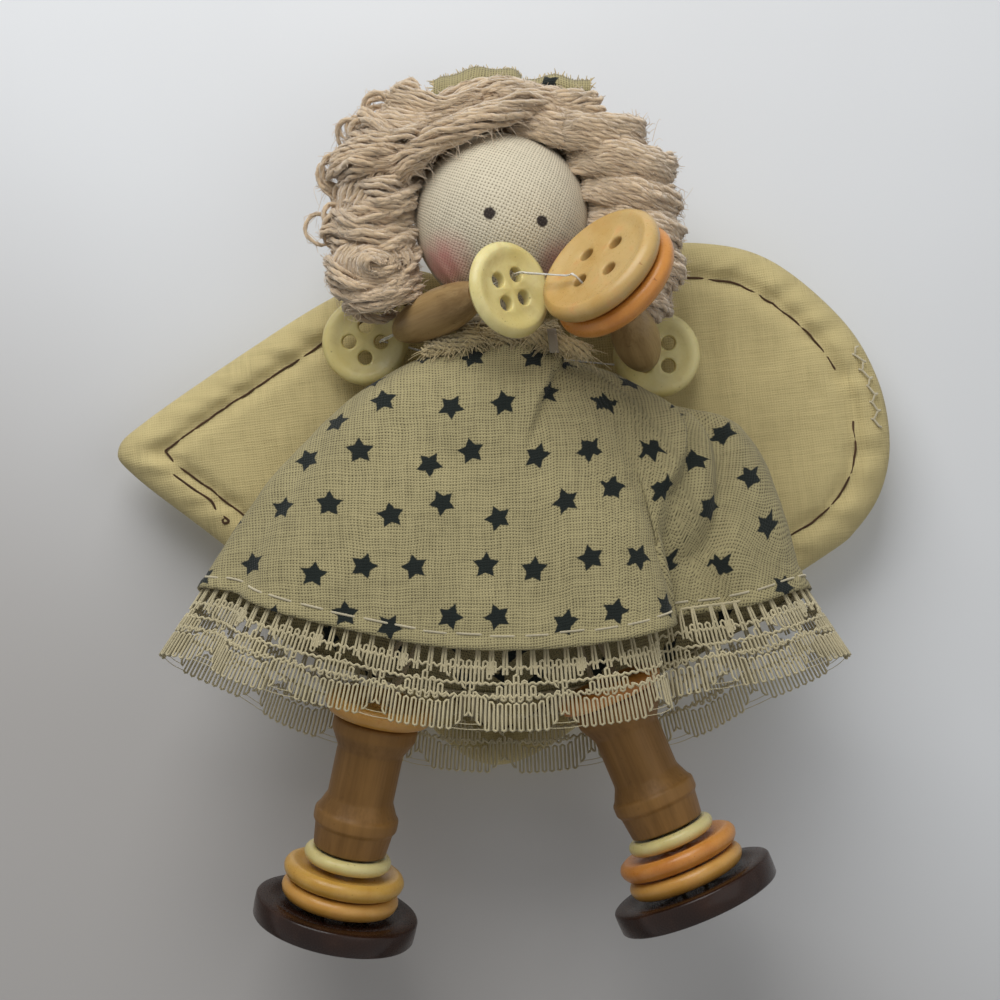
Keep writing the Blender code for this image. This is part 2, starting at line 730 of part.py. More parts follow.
def dress_point(angle, drop):
    """A point on the dress: angle from the front towards +X, drop 0 at the neck and 1 at the hem."""
    spread = math.sqrt(drop)
    neck_front = BODY_AXIS_DEPTH - DRESS_NECK_RADIUS
    neck_back = BODY_AXIS_DEPTH + DRESS_NECK_RADIUS
    half_width = DRESS_NECK_RADIUS + (DRESS_HEM_HALF_WIDTH - DRESS_NECK_RADIUS) * spread
    front = neck_front + (DRESS_HEM_FRONT - neck_front) * spread
    back = neck_back + (DRESS_BACK - neck_back) * math.sqrt(min(drop / DRESS_BACK_FULL_DROP, 1.0))
    toward_front = ((1 + math.cos(angle)) / 2) ** DRESS_SECTION_LEAN
    x = half_width * math.sin(angle)
    y = back + (front - back) * toward_front
    centre = Vector((0.0, (front + back) / 2))
    inward = centre - Vector((x, y))
    pull = 0.0
    for fold_angle, depth, half in DRESS_FOLDS:
        away = (math.degrees(angle) - fold_angle + 180) % 360 - 180
        pull += depth * drop**DRESS_FOLD_GROWTH * math.exp(-((away / half) ** 2))
    folded = Vector((x, y)) + inward.normalized() * pull
    neck = DRESS_NECK_HEIGHT + DRESS_NECK_TILT * math.cos(angle)
    hem = DRESS_HEM_HEIGHT + DRESS_HEM_LIFT * math.cos(angle) + DRESS_HEM_DIP * math.cos(2 * angle)
    return Vector((folded.x, folded.y, neck + (hem - neck) * drop))


def dress_normal(angle, drop):
    """Outward direction of the dress at a point."""
    step = 1e-3
    around = dress_point(angle + step, drop) - dress_point(angle - step, drop)
    down = dress_point(angle, drop + step) - dress_point(angle, drop - step)
    return down.cross(around).normalized()


def dress_angles():
    return [2 * math.pi * column / DRESS_COLUMNS for column in range(DRESS_COLUMNS)]


def make_dress(shop):
    """The gathered dress as one open bell of cloth."""
    drops = [0.0, 0.03, 0.09, 0.18, 0.30, 0.44, 0.58, 0.72, 0.86, 1.0]
    rings = [[dress_point(angle, drop) for angle in dress_angles()] for drop in drops]
    dress = shop.add("dress", loft_mesh("dress", rings), "star_cloth")
    solidify(dress, DRESS_CLOTH, -1.0)


def make_lace(shop):
    """The gathered lace, tucked inside the hem and hanging below it."""
    inset = DRESS_CLOTH + 1.5 * SEAT_GAP
    rings = []
    for below in (-LACE_TUCK, 0.0, LACE_DROP * 0.35, LACE_DROP * 0.7, LACE_DROP):
        ring = []
        for angle in dress_angles():
            hem = dress_point(angle, 1.0)
            slope = (hem - dress_point(angle, 0.9)).normalized()
            wave = LACE_WAVE_DEPTH * max(below, 0.0) / LACE_DROP * (1 + math.cos(LACE_WAVES * angle))
            ring.append(hem + slope * below - dress_normal(angle, 0.98) * (inset + wave))
        rings.append(ring)
    lace = shop.add("hem_lace", loft_mesh("hem_lace", rings), "lace")
    solidify(lace, LACE_THICKNESS, -1.0)


def make_collar(shop):
    """The frayed edge that shows in front of the neck."""
    half = COLLAR_THICKNESS / 2
    path = []
    steps = 10
    for step in range(steps + 1):
        angle = math.radians(COLLAR_LEFT_END + (COLLAR_RIGHT_END - COLLAR_LEFT_END) * step / steps)
        neck = DRESS_NECK_HEIGHT + DRESS_NECK_TILT
        height = neck + COLLAR_SEAT * half + COLLAR_RISE * (1 - math.cos(angle))
        path.append(
            Vector(
                (
                    COLLAR_RADIUS * math.sin(angle),
                    HEAD_CENTRE.y + COLLAR_SET_BACK - COLLAR_RADIUS * math.cos(angle),
                    height,
                )
            )
        )
    shop.add("collar", tube_mesh(shop, "collar", path, half), "muslin")


def hand_place(place):
    """A hand point given with its depth forward of the face."""
    return Vector((place.x, FACE_FRONT + place.y, place.z))


def strung_bead(shop, name, mesh, shoulder, hand_end):
    """A bead on the line between a shoulder and a hand."""
    along = (hand_end - shoulder).normalized()
    middle = hand_end - along * BEAD_LENGTH / 2
    bead = shop.add(name, mesh.copy(), "bead_wood")
    bead.matrix_world = frame_along(middle, along)
    return bead, middle - along * BEAD_LENGTH / 2


def make_arms(shop):
    """The strung arms: shoulder buttons, beads, hand buttons and the line through them all."""
    bead = bead_mesh(shop)
    left_end = hand_place(LEFT_BEAD_HAND_END)
    right_end = hand_place(RIGHT_BEAD_HAND_END)
    left_bead, left_start = strung_bead(shop, "arm_bead_left", bead, SHOULDER_LEFT, left_end)
    right_bead, right_start = strung_bead(shop, "arm_bead_right", bead, SHOULDER_RIGHT, right_end)
    bpy.data.meshes.remove(bead)
    yellow_hole = hand_place(YELLOW_HAND_HOLE)
    yellow_out = YELLOW_HAND_FACING.normalized()
    upper_hole = (BUTTON_HOLE_CIRCLE, 0.0)
    yellow = button_mesh(shop, "yellow_hand", YELLOW_HAND_BUTTON, BUTTON_HOLE_CIRCLE, upper_hole)
    button = shop.add("hand_button_yellow", yellow, "yellow_plastic")
    button.matrix_world = frame_along(yellow_hole, yellow_out, YELLOW_HAND_ACROSS)
    hands = [button]
    large_hole = hand_place(LARGE_HAND_HOLE)
    large_out = LARGE_HAND_FACING.normalized()
    pitch = LARGE_HAND_BUTTON[1] + SEAT_GAP
    lower_hole = (-LARGE_HOLE_CIRCLE, 0.0)
    large_hands = (("hand_button_peach", "peach_plastic", 0), ("hand_button_orange", "orange_plastic", 1))
    for name, finish, back in large_hands:
        mesh = button_mesh(shop, name, LARGE_HAND_BUTTON, LARGE_HOLE_CIRCLE, lower_hole)
        button = shop.add(name, mesh, finish)
        seat = large_hole - large_out * pitch * back
        button.matrix_world = frame_along(seat, large_out, LARGE_HAND_ACROSS)
        hands.append(button)
    front_route = [
        SHOULDER_LEFT + (left_start - SHOULDER_LEFT).normalized() * SEAT_GAP / 2,
        left_start,
        (left_start + left_end) / 2,
        left_end,
        yellow_hole - yellow_out * SEAT_GAP,
        yellow_hole + yellow_out * (YELLOW_HAND_BUTTON[1] + SEAT_GAP),
        large_hole + large_out * (LARGE_HAND_BUTTON[1] + SEAT_GAP),
        large_hole - large_out * (pitch + SEAT_GAP),
        right_end,
        (right_end + right_start) / 2,
        right_start,
        SHOULDER_RIGHT + (right_start - SHOULDER_RIGHT).normalized() * SEAT_GAP / 2,
    ]
    path = smooth_path(front_route, 3)
    line = shop.add("arm_line_front", tube_mesh(shop, "arm_line_front", path, ARM_LINE / 2), "clear_line")
    across = SHOULDER_RIGHT - SHOULDER_LEFT
    axis = joint_empty(shop, "arms_axis", frame_along(SHOULDER_LEFT, across, Vector((0.0, 0.0, 1.0))))
    bpy.context.view_layer.update()
    for piece in (line, left_bead, right_bead, *hands):
        carry_in_place(axis, piece)
    make_shoulders(shop)


def make_shoulders(shop):
    """The shoulder buttons and the stretch of line that ties them behind the neck."""
    facing_front = Vector((0.0, -1.0, 0.0))
    neck_depth = BODY_AXIS_DEPTH + DRESS_NECK_RADIUS + ARM_LINE
    neck_height = DRESS_NECK_HEIGHT - DRESS_NECK_TILT + NECK_LINE_RISE
    stretches = []
    for name, place, across, hole in (
        ("shoulder_button_left", SHOULDER_LEFT, Vector((1.0, 0.0, 0.0)), BUTTON_HOLE_CIRCLE),
        ("shoulder_button_right", SHOULDER_RIGHT, Vector((1.0, 0.0, 1.0)), -BUTTON_HOLE_CIRCLE),
    ):
        back = place - facing_front * (SHOULDER_BUTTON[1] + 2 * SEAT_GAP)
        mesh = button_mesh(shop, name, SHOULDER_BUTTON, BUTTON_HOLE_CIRCLE, (hole, 0.0))
        button = shop.add(name, mesh, "yellow_plastic")
        button.matrix_world = frame_along(back, facing_front, across)
        inward = Vector((-math.copysign(NECK_LINE_TURN, place.x), 0.0, 0.0))
        turn = back - facing_front * NECK_LINE_TURN + inward
        near_neck = Vector((place.x * NECK_LINE_REACH, neck_depth, neck_height))
        stretches.append([place - facing_front * SEAT_GAP / 2, back, turn, near_neck])
    middle = Vector((0.0, neck_depth, neck_height))
    path = smooth_path(stretches[0] + [middle] + stretches[1][::-1], 3)
    shop.add("arm_line_neck", tube_mesh(shop, "arm_line_neck", path, ARM_LINE / 2), "clear_line")


def make_leg(shop, side, knee, down, hip, buttons):
    """One strung leg on an empty at its knee, whose Z axis runs up the stack."""
    swing = joint_empty(shop, side + "_hip_joint", Matrix.Translation(hip))
    axis = joint_empty(shop, side + "_leg_axis", frame_along(knee, -down))
    bpy.context.view_layer.update()
    height = 0.0
    for part, size, finish in buttons:
        if part == "spool":
            height -= SPOOL_LENGTH + SEAT_GAP
            piece = shop.add(side + "_spool", spool_mesh(shop), "wood")
        else:
            height -= size[1] + SEAT_GAP
            name = f"{side}_{part}_button"
            piece = shop.add(name, button_mesh(shop, name, size, LEG_HOLE_CIRCLE), finish)
        carry(axis, piece, height)
    knot_mesh = sphere_mesh(side + "_hip_knot", HIP_KNOT_DIAMETER / 2, 10, 6)
    knot = shop.add(side + "_hip_knot", knot_mesh, "cord")
    knot.location = hip
    below_knot = hip + (knee - hip).normalized() * (HIP_KNOT_DIAMETER / 2 + SEAT_GAP)
    start = axis.matrix_world.inverted() @ below_knot
    strand = Vector((LEG_STRAND_OFFSET, 0.0, 0.0))
    tight = Vector((LEG_CORD / 2 + SEAT_GAP / 2, 0.0, 0.0))
    turn_depth = height - SEAT_GAP - LEG_CORD / 2
    half_loop = []
    bends = 6
    for bend in range(bends + 1):
        angle = math.pi * bend / bends
        across = LEG_STRAND_OFFSET * math.cos(angle)
        half_loop.append(Vector((across, 0.0, turn_depth - LEG_TURN_DEPTH * math.sin(angle))))
    knee_room = Vector((0.0, 0.0, LEG_KNEE_ROOM))
    midway = (start + knee_room) / 2
    apart = (strand + tight) / 2
    down_path = smooth_path([start + tight, midway + apart, strand + knee_room, strand], 4)
    up_path = smooth_path([-strand, -strand + knee_room, midway - apart, start - tight], 4)
    falls = [Vector((0.0, 0.0, turn_depth * step / LEG_RUN_STEPS)) for step in range(1, LEG_RUN_STEPS)]
    down_run = [strand + fall for fall in falls]
    up_run = [fall - strand for fall in reversed(falls)]
    path = down_path + down_run + half_loop + up_run + up_path
    cord = shop.add(side + "_leg_cord", tube_mesh(shop, side + "_leg_cord", path, LEG_CORD / 2), "cord")
    cord.parent = axis
    carry_in_place(swing, axis)


def make_legs(shop):
    """Both legs, each with its own colours from the top button to the foot."""
    left = [
        ("upper", UPPER_LEG_BUTTON, "peach_plastic"), ("spool", None, "wood"),
        ("ankle", ANKLE_BUTTON, "yellow_plastic"), ("middle", MIDDLE_BUTTON, "yellow_plastic"),
        ("lower", LOWER_BUTTON, "peach_plastic"), ("foot", FOOT_BUTTON, "brown_plastic"),
    ]
    right = [
        ("upper", UPPER_LEG_BUTTON, "orange_plastic"), ("spool", None, "wood"),
        ("ankle", ANKLE_BUTTON, "yellow_plastic"), ("middle", MIDDLE_BUTTON, "orange_plastic"),
        ("lower", LOWER_BUTTON, "peach_plastic"), ("foot", FOOT_BUTTON, "brown_plastic"),
    ]
    hip_height = BODY_BOTTOM - SEAT_GAP - HIP_KNOT_DIAMETER / 2
    for side, knee, down, buttons, sign in (
        ("left", LEFT_KNEE, LEFT_LEG_DOWN, left, -1), ("right", RIGHT_KNEE, RIGHT_LEG_DOWN, right, 1),
    ):
        hip = Vector((sign * HIP_SPREAD, HIP_DEPTH, hip_height))
        make_leg(shop, side, knee, down, hip, buttons)


def main():
    clear_scene()
    shop = Workshop()
    make_magnet(shop)
    make_wings(shop)
    make_head(shop)
    make_hair(shop)
    make_body(shop)
    make_dress(shop)
    make_lace(shop)
    make_collar(shop)
    make_arms(shop)
    make_legs(shop)


main()
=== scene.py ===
import logging
import math
from collections.abc import Callable, Sequence
from dataclasses import dataclass, field
from enum import Enum

import bmesh
import bpy
import numpy as np
from mathutils import Matrix, Vector


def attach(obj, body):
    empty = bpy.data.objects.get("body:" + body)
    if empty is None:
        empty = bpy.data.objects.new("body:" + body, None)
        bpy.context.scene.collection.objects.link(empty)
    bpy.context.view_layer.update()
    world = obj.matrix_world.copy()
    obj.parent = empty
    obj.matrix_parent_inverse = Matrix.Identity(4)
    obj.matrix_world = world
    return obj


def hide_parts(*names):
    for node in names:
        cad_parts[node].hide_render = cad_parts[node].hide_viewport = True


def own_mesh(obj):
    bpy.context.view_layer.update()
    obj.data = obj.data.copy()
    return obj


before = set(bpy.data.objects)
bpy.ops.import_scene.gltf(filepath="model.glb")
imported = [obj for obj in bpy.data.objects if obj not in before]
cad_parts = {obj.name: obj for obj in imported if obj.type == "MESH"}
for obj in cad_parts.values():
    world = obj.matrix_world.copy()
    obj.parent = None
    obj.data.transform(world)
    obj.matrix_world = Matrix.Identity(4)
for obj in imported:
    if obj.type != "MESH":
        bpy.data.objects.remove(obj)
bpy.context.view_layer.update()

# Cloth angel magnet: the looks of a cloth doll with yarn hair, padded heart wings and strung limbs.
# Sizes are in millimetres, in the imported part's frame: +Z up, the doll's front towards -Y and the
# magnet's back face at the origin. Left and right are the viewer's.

MM = 0.001
TAU = 2.0 * math.pi
LOG = logging.getLogger("angel")
SMOOTH = 180.0

Array = np.ndarray
Edge = Callable[[float], float]
Colour = tuple[float, float, float, float]
Socket = bpy.types.NodeSocket
Material = bpy.types.Material
Mesh = bpy.types.Mesh
Draft = bmesh.types.BMesh
Draw = np.random.Generator


def ink(red: int, green: int, blue: int) -> Colour:
    """A colour given as 0 to 255 display values, made linear.

    Args:
        red: Red, from 0 to 255.
        green: Green, likewise.
        blue: Blue, likewise.

    Returns:
        Linear red, green and blue, and 1.
    """
    parts = [value / 255.0 for value in (red, green, blue)]
    linear = [p / 12.92 if p <= 0.04045 else ((p + 0.055) / 1.055) ** 2.4 for p in parts]
    return *linear, 1.0


def shade(colour: Colour, share: float) -> Colour:
    """The same colour, lighter or darker."""
    return *(min(1.0, part * share) for part in colour[:3]), 1.0


class Where(Enum):
    """What a finish's pattern follows."""

    CLOTH = "UVMap"
    PIECE = "local"


class Sides(Enum):
    """How round a thread is: the resolution that the sweep takes."""

    FOUR = 0
    SIX = 1
    EIGHT = 2


# Finishes


class Graph:
    """A material's node tree, written one step at a time."""

    def __init__(self, name: str) -> None:
        """Starts a material with one principled shader.

        Args:
            name: The material's name.
        """
        self.material = bpy.data.materials.new(name)
        self.material.use_nodes = True
        self.nodes = self.material.node_tree.nodes
        self.links = self.material.node_tree.links
        self.shader = self.nodes["Principled BSDF"]

    def add(self, kind: str, **settings: object) -> bpy.types.Node:
        """A new node of a kind, with its settings.

        Args:
            kind: The node's type in Blender.
            **settings: Its properties.

        Returns:
            The node.
        """
        node = self.nodes.new(kind)
        for key, value in settings.items():
            setattr(node, key, value)
        return node

    def feed(self, socket: Socket, value: object) -> None:
        """Links a socket, or sets its value.

        Args:
            socket: The input.
            value: A socket to link, or a plain value.
        """
        if isinstance(value, Socket):
            self.links.new(value, socket)
        else:
            socket.default_value = value

    def cloth(self) -> Socket:
        """The piece's flat cloth coordinates, in millimetres."""
        return self.add("ShaderNodeUVMap", uv_map=Where.CLOTH.value).outputs["UV"]

    def piece(self) -> Socket:
        """The place in the piece's own frame before it was put in the doll, in millimetres."""
        return self.add("ShaderNodeAttribute", attribute_name=Where.PIECE.value).outputs["Vector"]

    def place(self) -> Socket:
        """The place in the doll, in millimetres."""
        at = self.add("ShaderNodeTexCoord").outputs["Object"]
        return self.vector("SCALE", at, 1.0 / MM)

    def math(self, operation: str, first: object, second: object = 0.0, third: object = 0.0) -> Socket:
        """One step of arithmetic.

        Args:
            operation: Blender's name for the step.
            first: A socket or a number.
            second: Another, if the step takes two.
            third: A third, if it takes three.

        Returns:
            The result.
        """
        node = self.add("ShaderNodeMath", operation=operation)
        for socket, value in zip(node.inputs, (first, second, third)):
            self.feed(socket, value)
        return node.outputs[0]

    def times(self, first: object, second: object) -> Socket:
        """A product."""
        return self.math("MULTIPLY", first, second)

    def plus(self, first: object, second: object) -> Socket:
        """A sum."""
        return self.math("ADD", first, second)

    def minus(self, first: object, second: object) -> Socket:
        """A difference."""
        return self.math("SUBTRACT", first, second)

    def vector(self, operation: str, first: object, second: object = (0.0, 0.0, 0.0)) -> Socket:
        """One step on vectors.

        Args:
            operation: Blender's name for the step.
            first: A socket or a vector.
            second: Another, or the number that SCALE takes.

        Returns:
            The result, a number or a vector.
        """
        node = self.add("ShaderNodeVectorMath", operation=operation)
        self.feed(node.inputs[0], first)
        self.feed(node.inputs["Scale"] if operation == "SCALE" else node.inputs[1], second)
        single = operation in ("LENGTH", "DISTANCE", "DOT_PRODUCT")
        return node.outputs["Value" if single else "Vector"]

    def split(self, vector: Socket) -> tuple[Socket, Socket, Socket]:
        """A vector's three parts.

        Args:
            vector: The vector.

        Returns:
            Its x, y and z.
        """
        node = self.add("ShaderNodeSeparateXYZ")
        self.feed(node.inputs[0], vector)
        return node.outputs[0], node.outputs[1], node.outputs[2]

    def join(self, x: object, y: object, z: object = 0.0) -> Socket:
        """Three numbers as a vector.

        Args:
            x: Along X.
            y: Along Y.
            z: Along Z.

        Returns:
            The vector.
        """
        node = self.add("ShaderNodeCombineXYZ")
        for socket, value in zip(node.inputs, (x, y, z)):
            self.feed(socket, value)
        return node.outputs[0]

    def noise(
        self, at: Socket, scale: float, detail: float = 2.0, stretch: tuple = (1.0, 1.0, 1.0)
    ) -> Socket:
        """Cloudy unevenness from 0 to 1.

        Args:
            at: Where it is read.
            scale: Turns in a millimetre.
            detail: Finer layers added to it.
            stretch: How much faster it changes along each axis.

        Returns:
            The unevenness.
        """
        node = self.add("ShaderNodeTexNoise")
        if stretch != (1.0, 1.0, 1.0):
            at = self.vector("MULTIPLY", at, stretch)
        self.feed(node.inputs["Vector"], at)
        node.inputs["Scale"].default_value = scale
        node.inputs["Detail"].default_value = detail
        return node.outputs[0]

    def step(self, value: object, low: float, high: float, start: float = 0.0, end: float = 1.0) -> Socket:
        """A soft step between two values.

        Args:
            value: What is stepped.
            low: Where the step starts.
            high: Where it ends.
            start: The result at low.
            end: The result at high.

        Returns:
            The stepped value.
        """
        node = self.add("ShaderNodeMapRange", interpolation_type="SMOOTHSTEP", clamp=True)
        for socket, item in zip(node.inputs, (value, low, high, start, end)):
            self.feed(socket, item)
        return node.outputs[0]

    def mix(self, share: object, first: object, second: object) -> Socket:
        """A colour between two.

        Args:
            share: How much of the second.
            first: One colour.
            second: The other.

        Returns:
            The colour.
        """
        node = self.add("ShaderNodeMix", data_type="RGBA")
        self.feed(node.inputs[0], share)
        self.feed(node.inputs[6], first)
        self.feed(node.inputs[7], second)
        return node.outputs[2]

    def relief(self, height: Socket, depth: float, under: Socket | None = None) -> Socket:
        """Bumps in the surface.

        Args:
            height: From 0 to 1.
            depth: What a height of 1 is, in millimetres.
            under: Bumps that it lies on, if any.

        Returns:
            The bumped normal.
        """
        node = self.add("ShaderNodeBump")
        node.inputs["Strength"].default_value = 1.0
        node.inputs["Distance"].default_value = depth * MM
        self.feed(node.inputs["Height"], height)
        if under is not None:
            self.feed(node.inputs["Normal"], under)
        return node.outputs[0]

    def dress(self, colour: Socket, roughness: object, normal: Socket, **constants: object) -> Material:
        """Feeds the shader and gives the finished material.

        Args:
            colour: The base colour.
            roughness: A socket or a number.
            normal: The bumped normal.
            **constants: Other inputs, with underscores for spaces.

        Returns:
            The material.
        """
        self.feed(self.shader.inputs["Base Color"], colour)
        self.feed(self.shader.inputs["Roughness"], roughness)
        self.feed(self.shader.inputs["Normal"], normal)
        for name, value in constants.items():
            self.shader.inputs[name.replace("_", " ")].default_value = value
        return self.material


@dataclass(frozen=True)
class WovenCotton:
    """Plain-woven cotton: its threads, the gaps between them and how its dye lies."""

    name: str
    thread: Colour
    gap: Colour
    pitch: float
    relief: float = 0.07
    openness: float = 0.45
    stain: float = 0.16
    sheen: float = 0.12
    uneven: float = 0.3

    def weave(self, graph: Graph) -> tuple[Socket, Socket]:
        """The weave's height from 0 to 1, and the cloth's colour.

        Args:
            graph: The material that is being written.

        Returns:
            Height and colour sockets.
        """
        flat = graph.cloth()
        across, along, _ = graph.split(flat)
        wander = graph.minus(graph.noise(flat, 0.16, 3.0), 0.5)
        waver = graph.minus(graph.noise(flat, 0.13, 3.0, (1.0, 1.3, 1.0)), 0.5)
        turns = math.pi / self.pitch
        warp_at = graph.math("MULTIPLY_ADD", wander, 7.0, graph.times(across, turns))
        weft_at = graph.math("MULTIPLY_ADD", waver, 7.0, graph.times(along, turns))
        warp_wave, weft_wave = graph.math("COSINE", warp_at), graph.math("COSINE", weft_at)
        over = graph.times(graph.times(warp_wave, weft_wave), 0.4)
        slub_up = graph.noise(flat, 1.0 / self.pitch, 1.0, (1.0, 0.06, 1.0))
        slub_across = graph.noise(flat, 1.0 / self.pitch, 1.0, (0.06, 1.0, 1.0))
        warp = graph.times(graph.math("ABSOLUTE", warp_wave), graph.plus(over, 0.6))
        weft = graph.times(graph.math("ABSOLUTE", weft_wave), graph.minus(0.6, over))
        thin, thick = 1.0 - self.uneven, 1.0 + self.uneven
        warp = graph.times(warp, graph.step(slub_up, 0.25, 0.75, thin, thick))
        weft = graph.times(weft, graph.step(slub_across, 0.25, 0.75, thin, thick))
        height = graph.math("MAXIMUM", warp, weft)
        slub = graph.times(graph.plus(slub_up, slub_across), 0.5)
        cloud = graph.noise(graph.place(), 0.09, 3.0)
        tone = graph.step(graph.plus(graph.times(slub, 0.65), graph.times(cloud, 0.35)), 0.3, 0.7)
        low, high = 1.0 - self.stain, 1.0 + self.stain * 0.7
        dyed = graph.mix(tone, shade(self.thread, low), shade(self.thread, high))
        worn = graph.minus(graph.noise(flat, 0.45 / self.pitch, 2.0), 0.5)
        shown = graph.step(graph.math("MULTIPLY_ADD", worn, self.uneven, height), 0.06, self.openness)
        return height, graph.mix(shown, self.gap, dyed)

    def printed(self, graph: Graph, colour: Socket, height: Socket) -> Socket:
        """The cloth's colour with what is printed on it; plain cloth has nothing."""
        return colour

    def make(self) -> Material:
        """Writes the finish as a material.

        Returns:
            A new material with this finish's name.
        """
        graph = Graph(self.name)
        height, colour = self.weave(graph)
        colour = self.printed(graph, colour, height)
        fuzz = graph.noise(graph.place(), 6.0, 2.0)
        normal = graph.relief(fuzz, 0.03, graph.relief(height, self.relief))
        rough = graph.step(fuzz, 0.2, 0.8, 0.78, 0.95)
        return graph.dress(colour, rough, normal, Sheen_Weight=self.sheen, Specular_IOR_Level=0.2)


@dataclass(frozen=True)
class StarPrint(WovenCotton):
    """Loosely woven cotton printed with small dark stars."""

    star: Colour = ink(22, 28, 25)
    cell: float = 7.5
    reach: float = 1.95
    waist: float = 1.06
    scatter: float = 0.36

    def printed(self, graph: Graph, colour: Socket, height: Socket) -> Socket:
        """Stars at uneven places and turns, one in each cell of staggered rows.

        Args:
            graph: The material that is being written.
            colour: The cloth's colour.
            height: The weave's height.

        Returns:
            The colour with the stars.
        """
        flat = graph.vector("SCALE", graph.cloth(), 1.0 / self.cell)
        across, along, _ = graph.split(flat)
        row = graph.math("FLOOR", along)
        across = graph.math("MULTIPLY_ADD", row, 0.5, across)
        column = graph.math("FLOOR", across)
        draw = graph.add("ShaderNodeTexWhiteNoise", noise_dimensions="3D")
        graph.feed(draw.inputs["Vector"], graph.join(column, row, 3.7))
        lot_x, lot_y, lot_turn = graph.split(draw.outputs["Color"])
        offsets = []
        for value, floor, lot in ((across, column, lot_x), (along, row, lot_y)):
            inside = graph.minus(graph.minus(value, floor), 0.5)
            moved = graph.math("MULTIPLY_ADD", graph.minus(lot, 0.5), -self.scatter, inside)
            offsets.append(graph.times(moved, self.cell))
        x, y = offsets
        ragged = graph.minus(graph.noise(graph.cloth(), 2.2, 2.0), 0.5)
        radius = graph.vector("LENGTH", graph.join(x, y))
        angle = graph.plus(graph.math("ARCTAN2", y, x), graph.times(lot_turn, TAU))
        fifth = TAU / 5.0
        folded = graph.math(
            "ABSOLUTE", graph.minus(graph.math("FLOORED_MODULO", angle, fifth), fifth / 2.0)
        )
        toward = graph.times(radius, graph.math("COSINE", folded))
        aside = graph.times(radius, graph.math("SINE", folded))
        valley_x, valley_y = self.waist * math.cos(fifth / 2.0), self.waist * math.sin(fifth / 2.0)
        size = math.hypot(valley_y, self.reach - valley_x)
        along_edge = graph.times(toward, valley_y / size)
        past = graph.math("MULTIPLY_ADD", aside, (self.reach - valley_x) / size, along_edge)
        inside = graph.minus(self.reach * valley_y / size, past)
        inside = graph.math("MULTIPLY_ADD", ragged, 0.28, inside)
        covered = graph.times(graph.step(inside, -0.06, 0.12), graph.step(height, 0.02, 0.3, 0.8, 1.0))
        printed = graph.mix(
            graph.noise(graph.cloth(), 1.4, 3.0), shade(self.star, 0.75), shade(self.star, 1.5)
        )
        return graph.mix(covered, colour, printed)


@dataclass(frozen=True)
class FaceCotton(WovenCotton):
    """Muslin with two ink-dot eyes and blush on the cheeks, at places in the doll (x, z, size)."""

    eyes: tuple = ((-2.1, 28.8, 0.98), (5.0, 27.9, 0.92))
    cheeks: tuple = ((-8.6, 22.6, 5.4), (8.2, 21.9, 5.0))
    eye_ink: Colour = ink(52, 45, 42)
    blush: Colour = ink(214, 128, 128)
    middle: float = -24.0

    def printed(self, graph: Graph, colour: Socket, height: Socket) -> Socket:
        """The face, on the front of the head only.

        Args:
            graph: The material that is being written.
            colour: The cloth's colour.
            height: The weave's height.

        Returns:
            The colour with the face.
        """
        x, y, z = graph.split(graph.place())
        front = graph.step(y, self.middle, self.middle - 2.0)
        flat = graph.join(x, z)
        bleed = graph.minus(graph.noise(graph.place(), 1.6, 3.0), 0.5)
        cloud = graph.noise(graph.place(), 0.35, 2.0)
        for side, up, reach in self.cheeks:
            away = graph.vector("DISTANCE", flat, (side, up, 0.0))
            soft = graph.times(graph.step(away, reach, 0.6), graph.step(cloud, 0.2, 0.8, 0.42, 0.74))
            soft = graph.times(soft, front)
            colour = graph.mix(soft, colour, self.blush)
        for side, up, reach in self.eyes:
            away = graph.vector("DISTANCE", flat, (side, up, 0.0))
            away = graph.math("MULTIPLY_ADD", bleed, 0.45, away)
            dot = graph.times(graph.step(away, reach, reach - 0.3), front)
            dot = graph.times(dot, graph.step(height, 0.02, 0.4, 0.72, 1.0))
            colour = graph.mix(dot, colour, self.eye_ink)
        return colour


@dataclass(frozen=True)
class Yarn:
    """Fuzzy spun fibre: wool yarn, thread or cord."""

    name: str
    colour: Colour
    variety: float = 0.22
    fibre: float = 5.0
    relief: float = 0.09
    sheen: float = 0.35
    roughness: float = 0.9
    glow: float = 0.0

    def make(self) -> Material:
        """Writes the finish as a material.

        Returns:
            A new material with this finish's name.
        """
        graph = Graph(self.name)
        at = graph.place()
        lock = graph.noise(at, 0.22, 2.0)
        fibre = graph.noise(at, self.fibre, 3.0)
        tone = graph.plus(graph.times(lock, 0.6), graph.times(fibre, 0.4))
        colour = graph.mix(
            graph.step(tone, 0.3, 0.7), shade(self.colour, 1.0 - self.variety),
            shade(self.colour, 1.0 + self.variety * 0.6)
        )
        normal = graph.relief(fibre, self.relief)
        rough = graph.step(fibre, 0.2, 0.8, self.roughness - 0.1, min(1.0, self.roughness + 0.06))
        return graph.dress(
            colour, rough, normal, Sheen_Weight=self.sheen, Sheen_Roughness=0.6,
            Specular_IOR_Level=0.15, Subsurface_Weight=self.glow,
            Subsurface_Radius=(1.0, 1.0, 1.0), Subsurface_Scale=0.7 * MM, Diffuse_Roughness=1.0,
        )


